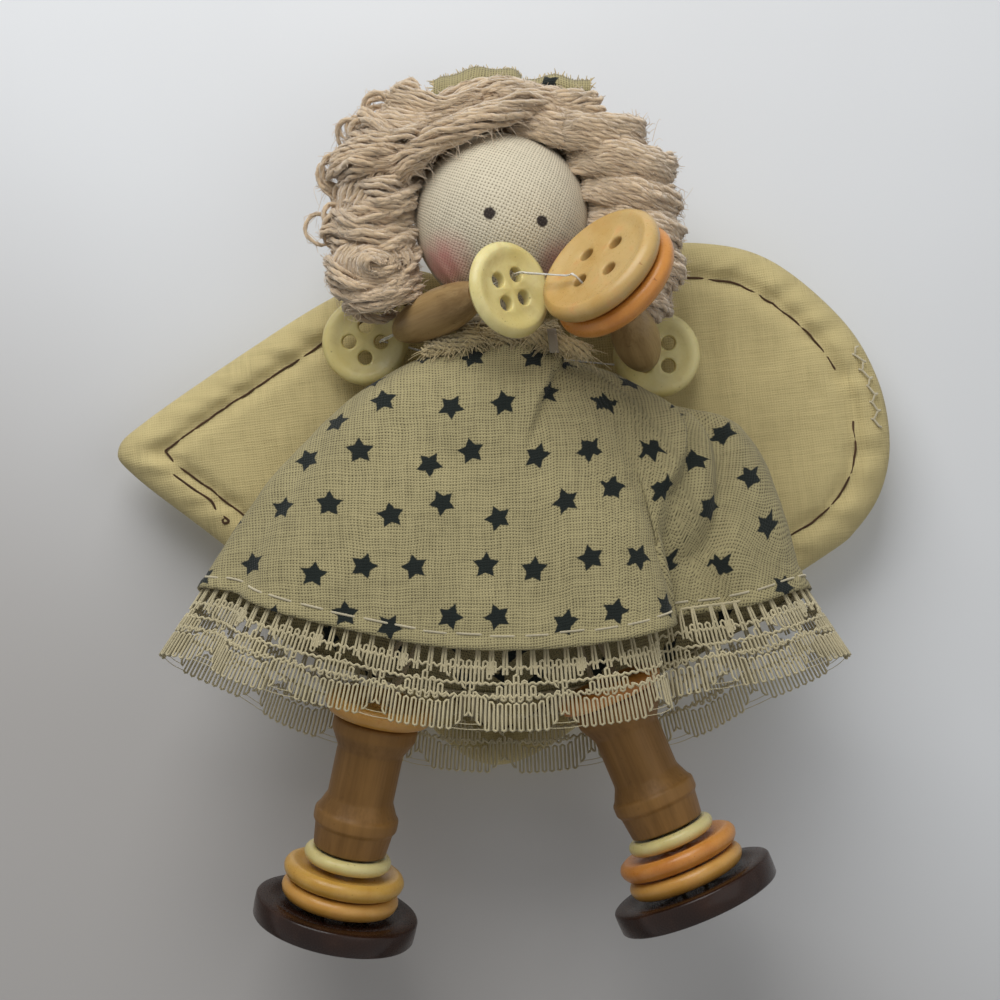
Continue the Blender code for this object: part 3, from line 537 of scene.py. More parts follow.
@dataclass(frozen=True)
class TurnedWood:
    """Turned wood with its grain along the piece, rubbed pale at the edges and soiled with dark specks."""

    name: str
    pale: Colour
    dark: Colour
    gloss: float
    reach: float
    figure: float = 1.0

    def make(self) -> Material:
        """Writes the finish as a material.

        Returns:
            A new material with this finish's name.
        """
        graph = Graph(self.name)
        at = graph.piece()
        x, y, _ = graph.split(at)
        bands = graph.noise(at, 0.55, 3.0, (1.0, 1.0, 0.07))
        pores = graph.noise(at, 3.2, 3.0, (1.0, 1.0, 0.05))
        cloud = graph.noise(at, 0.16, 2.0)
        tone = graph.plus(graph.times(bands, 0.55), graph.times(pores, 0.25))
        tone = graph.plus(tone, graph.times(cloud, 0.2))
        colour = graph.mix(graph.step(tone, 0.34, 0.66), self.dark, self.pale)
        streak = graph.step(pores, 0.58, 0.72, 0.0, 0.4 * self.figure)
        colour = graph.mix(streak, colour, shade(self.dark, 0.6))
        rim = graph.step(graph.vector("LENGTH", graph.join(x, y)), self.reach - 0.5, self.reach, 0.0, 0.35)
        colour = graph.mix(rim, colour, shade(self.pale, 1.12))
        speck = graph.step(graph.noise(at, 0.9, 4.0), 0.66, 0.74, 0.0, 0.5 * self.figure)
        colour = graph.mix(speck, colour, shade(self.dark, 0.5))
        normal = graph.relief(pores, 0.05 * self.figure, graph.relief(bands, 0.06 * self.figure))
        rough = graph.step(tone, 0.3, 0.7, self.gloss + 0.1, self.gloss - 0.06)
        return graph.dress(colour, rough, normal, Specular_IOR_Level=0.2)


@dataclass(frozen=True)
class CastPlastic:
    """An old cast button: cloudy plastic with lighter swirls, dark specks and a film of soil."""

    name: str
    slot: str
    colour: Colour
    cloud: Colour
    soil: Colour
    gloss: float = 0.32
    glow: float = 0.12
    soiling: float = 0.35
    shine: float = 0.3

    def make(self) -> Material:
        """Writes the finish as a material.

        Returns:
            A new material with this finish's name.
        """
        graph = Graph(self.name)
        at = graph.piece()
        cloudy = graph.noise(at, 0.2, 3.0)
        colour = graph.mix(graph.step(cloudy, 0.32, 0.68), self.cloud, self.colour)
        swirl = graph.noise(at, 0.55, 4.0, (1.0, 0.5, 1.0))
        colour = graph.mix(graph.step(swirl, 0.5, 0.75, 0.0, 0.3), colour, shade(self.colour, 1.12))
        speck = graph.noise(at, 1.7, 2.0)
        dirt = graph.step(speck, 0.71, 0.76, 0.0, self.soiling * 1.6)
        colour = graph.mix(dirt, colour, self.soil)
        film = graph.step(graph.noise(at, 0.4, 4.0), 0.52, 0.8, 0.0, self.soiling)
        colour = graph.mix(film, colour, shade(self.soil, 2.2))
        scuff = graph.noise(at, 3.5, 3.0)
        normal = graph.relief(swirl, 0.05, graph.relief(scuff, 0.012))
        rough = graph.step(scuff, 0.3, 0.75, self.gloss - 0.06, self.gloss + 0.14)
        return graph.dress(
            colour, rough, normal, Subsurface_Weight=self.glow, Subsurface_Radius=(1.0, 0.6, 0.25),
            Subsurface_Scale=1.2 * MM, Coat_Weight=0.15, Coat_Roughness=0.2,
            Specular_IOR_Level=self.shine,
        )


@dataclass(frozen=True)
class ClearLine:
    """Clear nylon line, a little clouded at random."""

    name: str
    colour: Colour

    def make(self) -> Material:
        """Writes the finish as a material.

        Returns:
            A new material with this finish's name.
        """
        graph = Graph(self.name)
        haze = graph.noise(graph.place(), 1.2, 2.0)
        # Painted highlight: the whitish colour, let through only in part, stands in for the glints on the
        # line.
        colour = graph.mix(graph.step(haze, 0.3, 0.7), shade(self.colour, 0.85), self.colour)
        return graph.dress(
            colour, graph.step(haze, 0.3, 0.7, 0.08, 0.28), graph.relief(haze, 0.01),
            Transmission_Weight=0.35, IOR=1.53
        )


@dataclass(frozen=True)
class Lumpy:
    """A grainy solid such as pressed ferrite, set glue or wadding."""

    name: str
    colour: Colour
    fleck: Colour
    grain: float
    relief: float
    roughness: float

    def make(self) -> Material:
        """Writes the finish as a material.

        Returns:
            A new material with this finish's name.
        """
        graph = Graph(self.name)
        at = graph.place()
        grain = graph.noise(at, self.grain, 4.0)
        cloud = graph.noise(at, self.grain * 0.12, 3.0)
        colour = graph.mix(graph.step(cloud, 0.3, 0.7), shade(self.colour, 0.8), shade(self.colour, 1.15))
        colour = graph.mix(graph.step(grain, 0.55, 0.75), colour, self.fleck)
        rough = graph.step(grain, 0.3, 0.7, self.roughness - 0.1, min(1.0, self.roughness + 0.1))
        return graph.dress(colour, rough, graph.relief(grain, self.relief))


FACE = FaceCotton(
    "face_muslin", ink(214, 204, 180), ink(112, 100, 78), 0.48, relief=0.08, openness=0.56,
    stain=0.06, uneven=0.16
)
BODY_CLOTH = WovenCotton("body_muslin", ink(206, 196, 170), ink(140, 128, 100), 0.46)
WING_CLOTH = WovenCotton(
    "wing_muslin", ink(202, 186, 134), ink(136, 118, 74), 0.36, relief=0.05, openness=0.42,
    stain=0.1
)
STAR_CLOTH = StarPrint(
    "star_cotton", ink(170, 159, 118), ink(50, 44, 27), 0.4, relief=0.09, openness=0.56, stain=0.14,
    uneven=0.22
)
WOOL = Yarn("hair_wool", ink(214, 187, 151), variety=0.2, relief=0.12, sheen=0.6, glow=0.4)
COLLAR_WOOL = Yarn("collar_fray", ink(206, 188, 142), variety=0.34)
LACE_COTTON = Yarn("lace_cotton", ink(200, 189, 154), variety=0.12, relief=0.03, sheen=0.15)
HEM_THREAD = Yarn("hem_thread", ink(204, 195, 168), variety=0.1, relief=0.02, sheen=0.1)
BROWN_THREAD = Yarn("brown_thread", ink(84, 60, 40), variety=0.3, relief=0.03, sheen=0.1)
COTTON_CORD = Yarn("cotton_cord", ink(190, 175, 142), variety=0.18, relief=0.05)
RIBBON = Yarn("ribbon_end", ink(150, 138, 116), variety=0.15, relief=0.03, sheen=0.5, roughness=0.6)
SPOOL_WOOD = TurnedWood("spool_wood", ink(140, 103, 56), ink(113, 81, 42), 0.42, 6.0, figure=0.5)
BEAD_WOOD = TurnedWood("bead_wood", ink(164, 136, 92), ink(122, 96, 60), 0.36, 3.3)
YELLOW = CastPlastic(
    "yellow_button", "yellow_plastic", ink(220, 208, 148), ink(208, 192, 124), ink(120, 100, 52)
)
AMBER = CastPlastic(
    "amber_button", "yellow_plastic", ink(204, 162, 80), ink(188, 142, 58), ink(116, 76, 34)
)
HONEY = CastPlastic("honey_button", "peach_plastic", ink(206, 158, 84), ink(192, 140, 62), ink(128, 80, 34))
PEACH = CastPlastic(
    "peach_button", "peach_plastic", ink(196, 165, 106), ink(188, 150, 84), ink(144, 86, 36)
)
ORANGE = CastPlastic(
    "orange_button", "orange_plastic", ink(210, 144, 68), ink(192, 122, 50), ink(122, 62, 22)
)
BROWN = CastPlastic(
    "brown_button", "brown_plastic", ink(44, 24, 14), ink(33, 17, 10), ink(70, 50, 38), gloss=0.24,
    glow=0.0, soiling=0.1, shine=0.15,
)
# The line's whitish colour is a painted highlight that stands in for its glints.
NYLON_PAINTED_GLINT = ClearLine("nylon_line_painted_glint", ink(246, 244, 236))
FERRITE = Lumpy("ferrite", ink(62, 61, 62), ink(92, 90, 88), 3.0, 0.04, 0.6)
GLUE = Lumpy("set_glue", ink(226, 218, 196), ink(240, 234, 216), 0.5, 0.12, 0.35)


# Shapes


class Ripple:
    """A smooth unevenness made of crossed waves, the same at each run."""

    def __init__(self, seed: int, length: float, waves: int = 10) -> None:
        """Draws the waves.

        Args:
            seed: What the waves are drawn from.
            length: Their usual length, in millimetres.
            waves: How many.
        """
        draw = np.random.default_rng(seed)
        headings = draw.normal(size=(waves, 3))
        headings /= np.linalg.norm(headings, axis=1)[:, None]
        self.turns = headings * (TAU / (length * draw.uniform(0.6, 1.8, waves)))[:, None]
        self.starts = draw.uniform(0.0, TAU, waves)

    def at(self, places: Array) -> Array:
        """Heights, mostly from -1 to 1, at places in an array whose last side is 3."""
        return np.sin(places @ self.turns.T + self.starts).mean(axis=-1) * 2.2


def unit(vectors: Array) -> Array:
    """Vectors made one long."""
    return vectors / np.maximum(np.linalg.norm(vectors, axis=-1, keepdims=True), 1e-9)


def ramp(value: Array, start: float, span: float) -> Array:
    """0 before a start, rising evenly to 1 over a span; a negative span falls instead."""
    return np.clip((value - start) / span, 0.0, 1.0)


def bell(value: Array, middle: float | Array, width: float) -> Array:
    """A smooth bump, 1 at its middle."""
    return np.exp(-(((value - middle) / width) ** 2))


def tapered(count: int, start: float, step: float) -> Array:
    """Shares of a thread's size that grow from both its ends to 1."""
    place = np.arange(count)
    return np.minimum(1.0, start + np.minimum(place, place[::-1]) * step)


def smooth_path(points: Sequence, per_span: int, closed: bool = False) -> Array:
    """A Catmull-Rom line through points.

    Args:
        points: The points to pass through.
        per_span: Steps between two points.
        closed: Whether the line comes back to its start.

    Returns:
        The line's points; a closed line doesn't repeat its first.
    """
    knots = np.array([tuple(p) for p in points], float)
    count = len(knots)
    spans = count if closed else count - 1
    line = []
    for span in range(spans):
        picks = [span - 1, span, span + 1, span + 2]
        a, b, c, d = (knots[i % count] if closed else knots[min(max(i, 0), count - 1)] for i in picks)
        for step in range(per_span):
            t = step / per_span
            square, cube = 2 * a - 5 * b + 4 * c - d, 3 * b - a - 3 * c + d
            line.append(0.5 * (2 * b + (c - a) * t + square * t**2 + cube * t**3))
    if not closed:
        line.append(knots[-1])
    return np.array(line)


def run_of(path: Array) -> Array:
    """How far along a line each of its points is."""
    return np.concatenate([[0.0], np.cumsum(np.linalg.norm(np.diff(path, axis=0), axis=1))])


def picked(path: Array, run: Array, wanted: Array) -> Array:
    """Places on a line, or values kept along it, at distances along its run."""
    return np.stack([np.interp(wanted, run, path[:, i]) for i in range(path.shape[1])], axis=1)


def even_path(path: Array, step: float) -> Array:
    """The same line with points about a step apart.

    Args:
        path: The line.
        step: The distance that is wanted.

    Returns:
        Its points.
    """
    run = run_of(path)
    wanted = np.linspace(0.0, run[-1], max(2, int(round(run[-1] / step)) + 1))
    return picked(path, run, wanted)


def plies_of(path: Array, count: int, offset: float, pitch: float, phase: float) -> list[Array]:
    """The plies twisted round a line.

    Args:
        path: The line.
        count: How many plies.
        offset: Each ply's distance from the line.
        pitch: The length of one turn.
        phase: Where the twist starts.

    Returns:
        One line for each ply.
    """
    along = unit(np.gradient(path, axis=0))
    seed = np.array([0.0, 0.0, 1.0]) if abs(along[0][2]) < 0.9 else np.array([1.0, 0.0, 0.0])
    side = np.empty_like(path)
    carried = seed
    for index, heading in enumerate(along):
        carried = unit(carried - heading * carried.dot(heading))
        side[index] = carried
    across = np.cross(along, side)
    run = run_of(path)
    lines = []
    for ply in range(count):
        angle = (TAU * (run / pitch + ply / count) + phase)[:, None]
        lines.append(path + offset * (np.cos(angle) * side + np.sin(angle) * across))
    return lines


class Strands:
    """Round threads of one kind, laid as lines and swept into one mesh."""

    def __init__(self, sides: Sides = Sides.FOUR) -> None:
        """Starts with no threads.

        Args:
            sides: How round the threads are.
        """
        self.curve = bpy.data.curves.new("strands", "CURVE")
        self.curve.dimensions = "3D"
        self.curve.bevel_depth = 1.0
        self.curve.bevel_resolution = sides.value
        self.curve.use_fill_caps = True

    def lay(self, path: Array, radius: float | Array) -> None:
        """Adds a thread along a line.

        Args:
            path: The line, in millimetres.
            radius: One number, or one for each point.
        """
        spline = self.curve.splines.new("POLY")
        count = len(path)
        spline.points.add(count - 1)
        spline.points.foreach_set("co", np.column_stack([path, np.ones(count)]).ravel())
        spline.points.foreach_set("radius", np.array(np.broadcast_to(radius, (count,)), float))

    def twist(self, path: Array, radius: float, pitch: float, phase: float, count: int = 2) -> None:
        """Adds a yarn of plies twisted round a line.

        Args:
            path: The line, in millimetres.
            radius: The whole yarn's.
            pitch: The length of one turn.
            phase: Where the twist starts.
            count: How many plies.
        """
        ply = radius * 0.56
        ends = tapered(len(path), 0.45, 0.3)
        for line in plies_of(path, count, radius - ply, pitch, phase):
            self.lay(line, ply * ends)

    def sweep(self) -> Mesh:
        """The threads as one mesh, in metres.

        Returns:
            The mesh.
        """
        holder = bpy.data.objects.new("strands", self.curve)
        bpy.context.scene.collection.objects.link(holder)
        graph = bpy.context.evaluated_depsgraph_get()
        mesh = bpy.data.meshes.new_from_object(holder.evaluated_get(graph))
        bpy.data.objects.remove(holder, do_unlink=True)
        bpy.data.curves.remove(self.curve)
        mesh.transform(Matrix.Scale(MM, 4))
        return mesh


def mesh_of(body: Draft, name: str) -> Mesh:
    """A bmesh as a mesh; the bmesh is freed.

    Args:
        body: The bmesh.
        name: The mesh's name.

    Returns:
        The mesh.
    """
    mesh = bpy.data.meshes.new(name)
    body.to_mesh(mesh)
    body.free()
    return mesh


def take_in(body: Draft, part: Draft) -> None:
    """Adds one bmesh to another and frees it.

    Args:
        body: The one that grows.
        part: The one that goes into it.
    """
    mesh = mesh_of(part, "part")
    body.from_mesh(mesh)
    bpy.data.meshes.remove(mesh)


def joined(meshes: Sequence[Mesh]) -> Mesh:
    """Several meshes as one; the others are removed.

    Args:
        meshes: The meshes, of which the first is kept.

    Returns:
        The first mesh, with the others in it.
    """
    body = bmesh.new()
    for mesh in meshes:
        body.from_mesh(mesh)
    first = meshes[0]
    body.to_mesh(first)
    body.free()
    for mesh in meshes[1:]:
        bpy.data.meshes.remove(mesh)
    return first


def frame_along(
    place: Sequence[float], direction: Sequence[float], across: Sequence[float] = (1.0, 0.0, 0.0)
) -> Matrix:
    """A frame set up at a place.

    Args:
        place: Its origin.
        direction: Its Z.
        across: What its X comes as near to as it can.

    Returns:
        The frame.
    """
    up = Vector(direction).normalized()
    side = Vector(across) - up * Vector(across).dot(up)
    side.normalize()
    matrix = Matrix((side, up.cross(side), up)).transposed().to_4x4()
    matrix.translation = Vector(place)
    return matrix


def turned(profile: Sequence[tuple[float, float]], steps: int, closed: bool = False) -> Draft:
    """A shape turned about Z.

    Args:
        profile: (radius, height) points.
        steps: Faces round the turn.
        closed: Whether the profile's last point joins its first, as on a ring.

    Returns:
        The turned shape, its poles and seam merged and its faces outwards.
    """
    body = bmesh.new()
    points = [body.verts.new((radius, 0.0, height)) for radius, height in profile]
    edges = [body.edges.new(pair) for pair in zip(points, points[1:])]
    if closed:
        edges.append(body.edges.new((points[-1], points[0])))
    bmesh.ops.spin(
        body, geom=points + edges, cent=(0, 0, 0), axis=(0, 0, 1), angle=TAU, steps=steps,
        use_merge=True
    )
    bmesh.ops.remove_doubles(body, verts=body.verts[:], dist=1e-4)
    bmesh.ops.recalc_face_normals(body, faces=body.faces[:])
    return body


def soften(body: Draft, width: float, least: float = 24.0, segments: int = 3) -> None:
    """Rounds a shape's sharp edges.

    Args:
        body: The shape.
        width: How far the rounding reaches, in millimetres.
        least: Edges that turn by more degrees are rounded.
        segments: Faces across the rounding.
    """
    limit = math.radians(least)
    sharp = [e for e in body.edges if e.is_manifold and e.calc_face_angle(0.0) > limit]
    bmesh.ops.bevel(
        body, geom=sharp, offset=width, offset_type="OFFSET", segments=segments, profile=0.5,
        affect="EDGES", clamp_overlap=True, material=-1,
    )


def shaped_grid(table: Array, flat: Array, weld: bool) -> Draft:
    """A sheet made from a grid.

    Args:
        table: Places, rows by columns by 3.
        flat: Where each lay in the flat cloth, rows by columns by 2.
        weld: Whether columns and rows that fall together are merged.

    Returns:
        The sheet, its faces recalculated.
    """
    rows, columns = table.shape[0] - 1, table.shape[1] - 1
    body = bmesh.new()
    bmesh.ops.create_grid(body, x_segments=columns, y_segments=rows, size=0.5)
    layer = body.loops.layers.uv.new(Where.CLOTH.value)
    spots = {}
    for vert in body.verts:
        column, row = round((vert.co.x + 0.5) * columns), round((vert.co.y + 0.5) * rows)
        spots[vert] = (row, column)
    for face in body.faces:
        for loop in face.loops:
            loop[layer].uv = flat[spots[loop.vert]]
    for vert, spot in spots.items():
        vert.co = table[spot]
    if weld:
        bmesh.ops.remove_doubles(body, verts=body.verts[:], dist=1e-3)
    bmesh.ops.recalc_face_normals(body, faces=body.faces[:])
    return body


def cut_holes(body: Draft, punch: Draft) -> Draft:
    """A shape with another cut out of it.

    Args:
        body: The shape, which is freed.
        punch: What is cut out of it, which is freed too.

    Returns:
        What is left of the shape.
    """
    objects = []
    for shape in (body, punch):
        blank = bpy.data.objects.new("blank", mesh_of(shape, "blank"))
        bpy.context.scene.collection.objects.link(blank)
        objects.append(blank)
    blank, cutter = objects
    modifier = blank.modifiers.new("holes", "BOOLEAN")
    modifier.operation, modifier.solver, modifier.object = "DIFFERENCE", "EXACT", cutter
    graph = bpy.context.evaluated_depsgraph_get()
    made = bpy.data.meshes.new_from_object(blank.evaluated_get(graph))
    result = bmesh.new()
    result.from_mesh(made)
    for item in objects:
        mesh = item.data
        bpy.data.objects.remove(item, do_unlink=True)
        bpy.data.meshes.remove(mesh)
    bpy.data.meshes.remove(made)
    return result


class Bench:
    """Where each piece is finished, put on its body and written in the log."""

    def __init__(self) -> None:
        """Starts with no finishes made."""
        self.finishes: dict[str, Material] = {}

    def material(self, finish: object) -> Material:
        """A finish's material, made once.

        Args:
            finish: The finish.

        Returns:
            The material.
        """
        if finish.name not in self.finishes:
            self.finishes[finish.name] = finish.make()
        return self.finishes[finish.name]

    def seat(
        self, name: str, shape: Draft | Mesh, finish: object, body: str,
        slot: str, stands_for: Sequence[str] = (), place: Matrix | None = None,
        sharp: float = 40.0,
    ) -> bpy.types.Object:
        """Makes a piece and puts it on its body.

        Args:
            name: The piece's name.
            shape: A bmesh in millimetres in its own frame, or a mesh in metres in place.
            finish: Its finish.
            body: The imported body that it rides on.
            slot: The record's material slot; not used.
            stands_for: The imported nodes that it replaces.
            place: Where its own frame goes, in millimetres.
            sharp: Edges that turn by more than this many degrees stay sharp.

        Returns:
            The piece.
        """
        if isinstance(shape, Draft):
            own = shape.verts.layers.float_vector.new(Where.PIECE.value)
            for vert in shape.verts:
                vert[own] = vert.co
            if place is not None:
                bmesh.ops.transform(shape, matrix=place, verts=shape.verts[:])
            bmesh.ops.scale(shape, vec=(MM, MM, MM), verts=shape.verts[:])
            mesh = mesh_of(shape, name)
        else:
            mesh = shape
            mesh.name = name
        mesh.materials.clear()
        mesh.materials.append(self.material(finish))
        mesh.shade_smooth()
        mesh.set_sharp_from_angle(angle=math.radians(sharp))
        piece = bpy.data.objects.new(name, mesh)
        bpy.context.scene.collection.objects.link(piece)
        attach(piece, body)
        if stands_for:
            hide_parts(*stands_for)
        LOG.info("%s on %s: %d faces", name, body, len(mesh.polygons))
        return piece


def give_thickness(piece: bpy.types.Object, thickness: float) -> None:
    """Gives a sheet its thickness, inwards from the side that shows.

    Args:
        piece: The sheet.
        thickness: In millimetres.
    """
    wall = piece.modifiers.new("cloth", "SOLIDIFY")
    wall.thickness = thickness * MM
    wall.offset = -1.0


# Sub-assemblies


@dataclass
class Studio:
    """The camera, the soft light and the pale wall that the magnet holds to, its paint a painted shade that
    darkens towards the bottom and the left.
    """

    eye: tuple = (-0.7, -320.0, -9.9)
    frame_width: float = 142.0
    frame_distance: float = 300.0
    sensor: float = 36.0
    wall_depth: float = 0.8
    wall_half: float = 420.0
    # The wall's paint runs from the lit top colour to the shaded low colour over a span of height leaned by
    # x: a painted shade, darker towards the bottom and the left.
    wall_lit_top: Colour = ink(228, 230, 232)
    wall_shaded_low: Colour = ink(190, 187, 184)
    wall_shade_span: tuple = (-100.0, 10.0)
    wall_shade_lean: float = 0.7
    key_power: float = 0.84
    key_size: float = 240.0
    key_place: tuple = (-66.0, -214.0, 236.0)
    fill_power: float = 0.2
    fill_size: float = 320.0
    fill_place: tuple = (240.0, -330.0, 40.0)
    back_power: float = 0.5
    back_size: float = 340.0
    back_place: tuple = (-80.0, 360.0, 260.0)
    ambient: float = 0.28
    sky: float = 0.82

    def build(self) -> None:
        """Makes the camera, lights, sky and wall."""
        scene = bpy.context.scene
        scene.view_settings.view_transform = "Standard"
        lens = bpy.data.cameras.new("camera")
        lens.sensor_width = self.sensor
        lens.lens = self.sensor / 2.0 / (self.frame_width / 2.0 / self.frame_distance)
        lens.clip_start, lens.clip_end = 0.01, 10.0
        camera = bpy.data.objects.new("camera", lens)
        camera.location = Vector(self.eye) * MM
        camera.rotation_euler = (math.pi / 2.0, 0.0, 0.0)
        scene.collection.objects.link(camera)
        scene.camera = camera
        self.lamp("key", self.key_place, self.key_power, self.key_size)
        self.lamp("fill", self.fill_place, self.fill_power, self.fill_size)
        self.lamp("back", self.back_place, self.back_power, self.back_size)
        self.light_sky(scene)
        self.hang_wall(scene)

    def lamp(self, name: str, place: tuple, power: float, size: float) -> None:
        """One soft square lamp that faces the doll.

        Args:
            name: Its name.
            place: Where it stands, in millimetres.
            power: In watts.
            size: Its side, in millimetres.
        """
        light = bpy.data.lights.new(name, "AREA")
        light.energy, light.size = power, size * MM
        lamp = bpy.data.objects.new(name, light)
        lamp.location = Vector(place) * MM
        lamp.rotation_euler = (-lamp.location).to_track_quat("-Z", "Y").to_euler()
        bpy.context.scene.collection.objects.link(lamp)

    def light_sky(self, scene: bpy.types.Scene) -> None:
        """An even sky: pale where it is seen, dimmer where it only lights.

        Args:
            scene: The scene that gets it.
        """
        world = bpy.data.worlds.new("sky")
        scene.world = world
        world.use_nodes = True
        nodes, links = world.node_tree.nodes, world.node_tree.links
        path = nodes.new("ShaderNodeLightPath")
        seen = path.outputs["Is Camera Ray"]
        for ray in ("Is Glossy Ray", "Is Transmission Ray"):
            either = nodes.new("ShaderNodeMath")
            either.operation = "MAXIMUM"
            links.new(seen, either.inputs[0])
            links.new(path.outputs[ray], either.inputs[1])
            seen = either.outputs[0]
        strength = nodes.new("ShaderNodeMapRange")
        links.new(seen, strength.inputs[0])
        strength.inputs[3].default_value = self.ambient
        strength.inputs[4].default_value = self.sky
        ground = nodes["Background"]
        ground.inputs["Color"].default_value = (0.98, 0.99, 1.0, 1.0)
        links.new(strength.outputs[0], ground.inputs["Strength"])

    def hang_wall(self, scene: bpy.types.Scene) -> None:
        """A pale wall that shows from its front only, and takes the doll's shadow; its colour is a painted
        shade, darker towards the bottom and the left.

        Args:
            scene: The scene that gets it.
        """
        body = bmesh.new()
        turn = (Matrix.Translation((0.0, self.wall_depth, 0.0)) @ Matrix.Rotation(math.pi / 2.0, 4, "X"))
        bmesh.ops.create_grid(body, x_segments=2, y_segments=2, size=self.wall_half, matrix=turn)
        bmesh.ops.scale(body, vec=(MM, MM, MM), verts=body.verts[:])
        mesh = mesh_of(body, "wall")
        graph = Graph("wall_shaded_paint")
        side, _, height = graph.split(graph.place())
        # Painted shade: the paint darkens from the top colour to the low colour towards the bottom and the
        # left, standing in for light that falls off there.
        tone = graph.step(graph.math("MULTIPLY_ADD", side, self.wall_shade_lean, height), *self.wall_shade_span)
        speck = graph.noise(graph.place(), 0.02, 2.0)
        shaded_paint = graph.mix(tone, self.wall_shaded_low, self.wall_lit_top)
        shaded_paint = graph.mix(graph.step(speck, 0.3, 0.7, 0.0, 0.06), shaded_paint, shade(self.wall_shaded_low, 0.9))
        graph.feed(graph.shader.inputs["Base Color"], shaded_paint)
        graph.shader.inputs["Roughness"].default_value = 0.9
        graph.shader.inputs["Specular IOR Level"].default_value = 0.1
        path = graph.add("ShaderNodeLightPath")
        behind = graph.add("ShaderNodeNewGeometry").outputs["Backfacing"]
        seen = graph.plus(path.outputs["Is Camera Ray"], path.outputs["Is Glossy Ray"])
        seen = graph.plus(seen, path.outputs["Is Transmission Ray"])
        seen = graph.times(graph.math("MINIMUM", seen, 1.0), graph.minus(1.0, behind))
        blend = graph.add("ShaderNodeMixShader")
        graph.feed(blend.inputs[0], seen)
        graph.feed(blend.inputs[1], graph.add("ShaderNodeBsdfTransparent").outputs[0])
        graph.feed(blend.inputs[2], graph.shader.outputs[0])
        graph.feed(graph.nodes["Material Output"].inputs["Surface"], blend.outputs[0])
        mesh.materials.append(graph.material)
        wall = bpy.data.objects.new("wall", mesh)
        scene.collection.objects.link(wall)


@dataclass
class Button:
    """A four-hole button with a raised rim; its back is at height 0."""

    diameter: float
    thickness: float
    hole_circle: float
    rim: float = 1.7
    dish: float = 0.5
    hole: float = 2.0
    flare: float = 0.22
    edge: float = 1.0
    steps: int = 72

    def shape(self, pivot: tuple[float, float] = (0.0, 0.0)) -> Draft:
        """The button, moved so that pivot is at its origin.

        Args:
            pivot: A place in the button's own plane.

        Returns:
            The button, in millimetres.
        """
        radius, thick = self.diameter / 2.0, self.thickness
        floor = thick - self.dish
        inside = radius - self.rim
        curve = thick * self.edge
        profile = [
            (0.0, floor), (inside - 1.5, floor - 0.02), (inside - 0.75, floor + 0.05),
            (inside - 0.2, floor + 0.3), (inside + 0.25, thick - 0.06), (inside + 0.6, thick),
            (radius - 0.34 * curve, thick - 0.02), (radius - 0.13 * curve, thick - 0.13 * curve),
            (radius - 0.02 * curve, thick - 0.32 * curve), (radius, thick * 0.52),
            (radius - 0.06 * curve, 0.3 * curve), (radius - 0.2 * curve, 0.1 * curve),
            (radius - 0.4 * curve, 0.0), (0.0, 0.0),
        ]
        blank = turned(profile, self.steps)
        punch = bmesh.new()
        half, wide = self.hole / 2.0, self.hole / 2.0 + self.flare
        drill_line = [
            (0.0, -1.0), (wide + 0.6, -1.0), (wide, 0.0), (half + 0.07, 0.1), (half, 0.3),
            (half, floor - 0.3), (half + 0.07, floor - 0.1), (wide, floor),
            (wide + 0.6, floor + 1.0), (0.0, floor + 1.0),
        ]
        for quarter in range(4):
            angle = quarter * math.pi / 2.0
            drill = turned(drill_line, 28)
            place = (self.hole_circle * math.cos(angle), self.hole_circle * math.sin(angle), 0.0)
            bmesh.ops.translate(drill, vec=place, verts=drill.verts[:])
            take_in(punch, drill)
        body = cut_holes(blank, punch)
        bmesh.ops.translate(body, vec=(-pivot[0], -pivot[1], 0.0), verts=body.verts[:])
        return body


SHOULDER_BUTTON = Button(12.5, 2.0, 2.3)
YELLOW_HAND = Button(13.2, 2.2, 2.3, edge=1.25)
LARGE_HAND = Button(18.4, 2.9, 3.4)
UPPER_LEG = Button(15.2, 2.6, 1.9)
ANKLE = Button(12.5, 2.0, 1.9)
MIDDLE = Button(17.3, 2.6, 1.9)
LOWER = Button(16.8, 2.6, 1.9)
FOOT = Button(23.4, 3.4, 1.9, rim=2.4, edge=0.34)


@dataclass
class Magnet:
    """The ferrite disc on the back and the glue that holds it."""

    diameter: float = 18.0
    thickness: float = 4.0
    edge: float = 0.4
    glue_diameter: float = 15.0
    glue_front: float = -4.8
    glue_back: float = -4.05

    def build(self, bench: Bench) -> None:
        """Makes the disc and its glue.

        Args:
            bench: Where the pieces are finished and seated.
        """
        half = self.diameter / 2.0
        disc = turned([(0.0, 0.0), (half, 0.0), (half, self.thickness), (0.0, self.thickness)], 96)
        soften(disc, self.edge, 60.0)
        back_to_wall = frame_along((0.0, -self.thickness, 0.0), (0.0, 1.0, 0.0))
        bench.seat("magnet_disc", disc, FERRITE, "doll", "magnet", ["magnet"], back_to_wall, 50.0)
        pad_half, thick = self.glue_diameter / 2.0, self.glue_back - self.glue_front
        profile = [
            (0.0, 0.0), (pad_half - 0.2, 0.0), (pad_half + 0.15, thick * 0.5),
            (pad_half - 0.2, thick), (0.0, thick),
        ]
        pad = turned(profile, 80)
        lumps = Ripple(11, 6.0)
        for vert in pad.verts:
            swell = 1.0 + 0.06 * float(lumps.at(np.array(vert.co)))
            vert.co.x *= swell
            vert.co.y *= swell
        place = frame_along((0.0, self.glue_front, 0.0), (0.0, 1.0, 0.0))
        bench.seat("magnet_glue_pad", pad, GLUE, "doll", "glue", ["magnet_glue"], place)


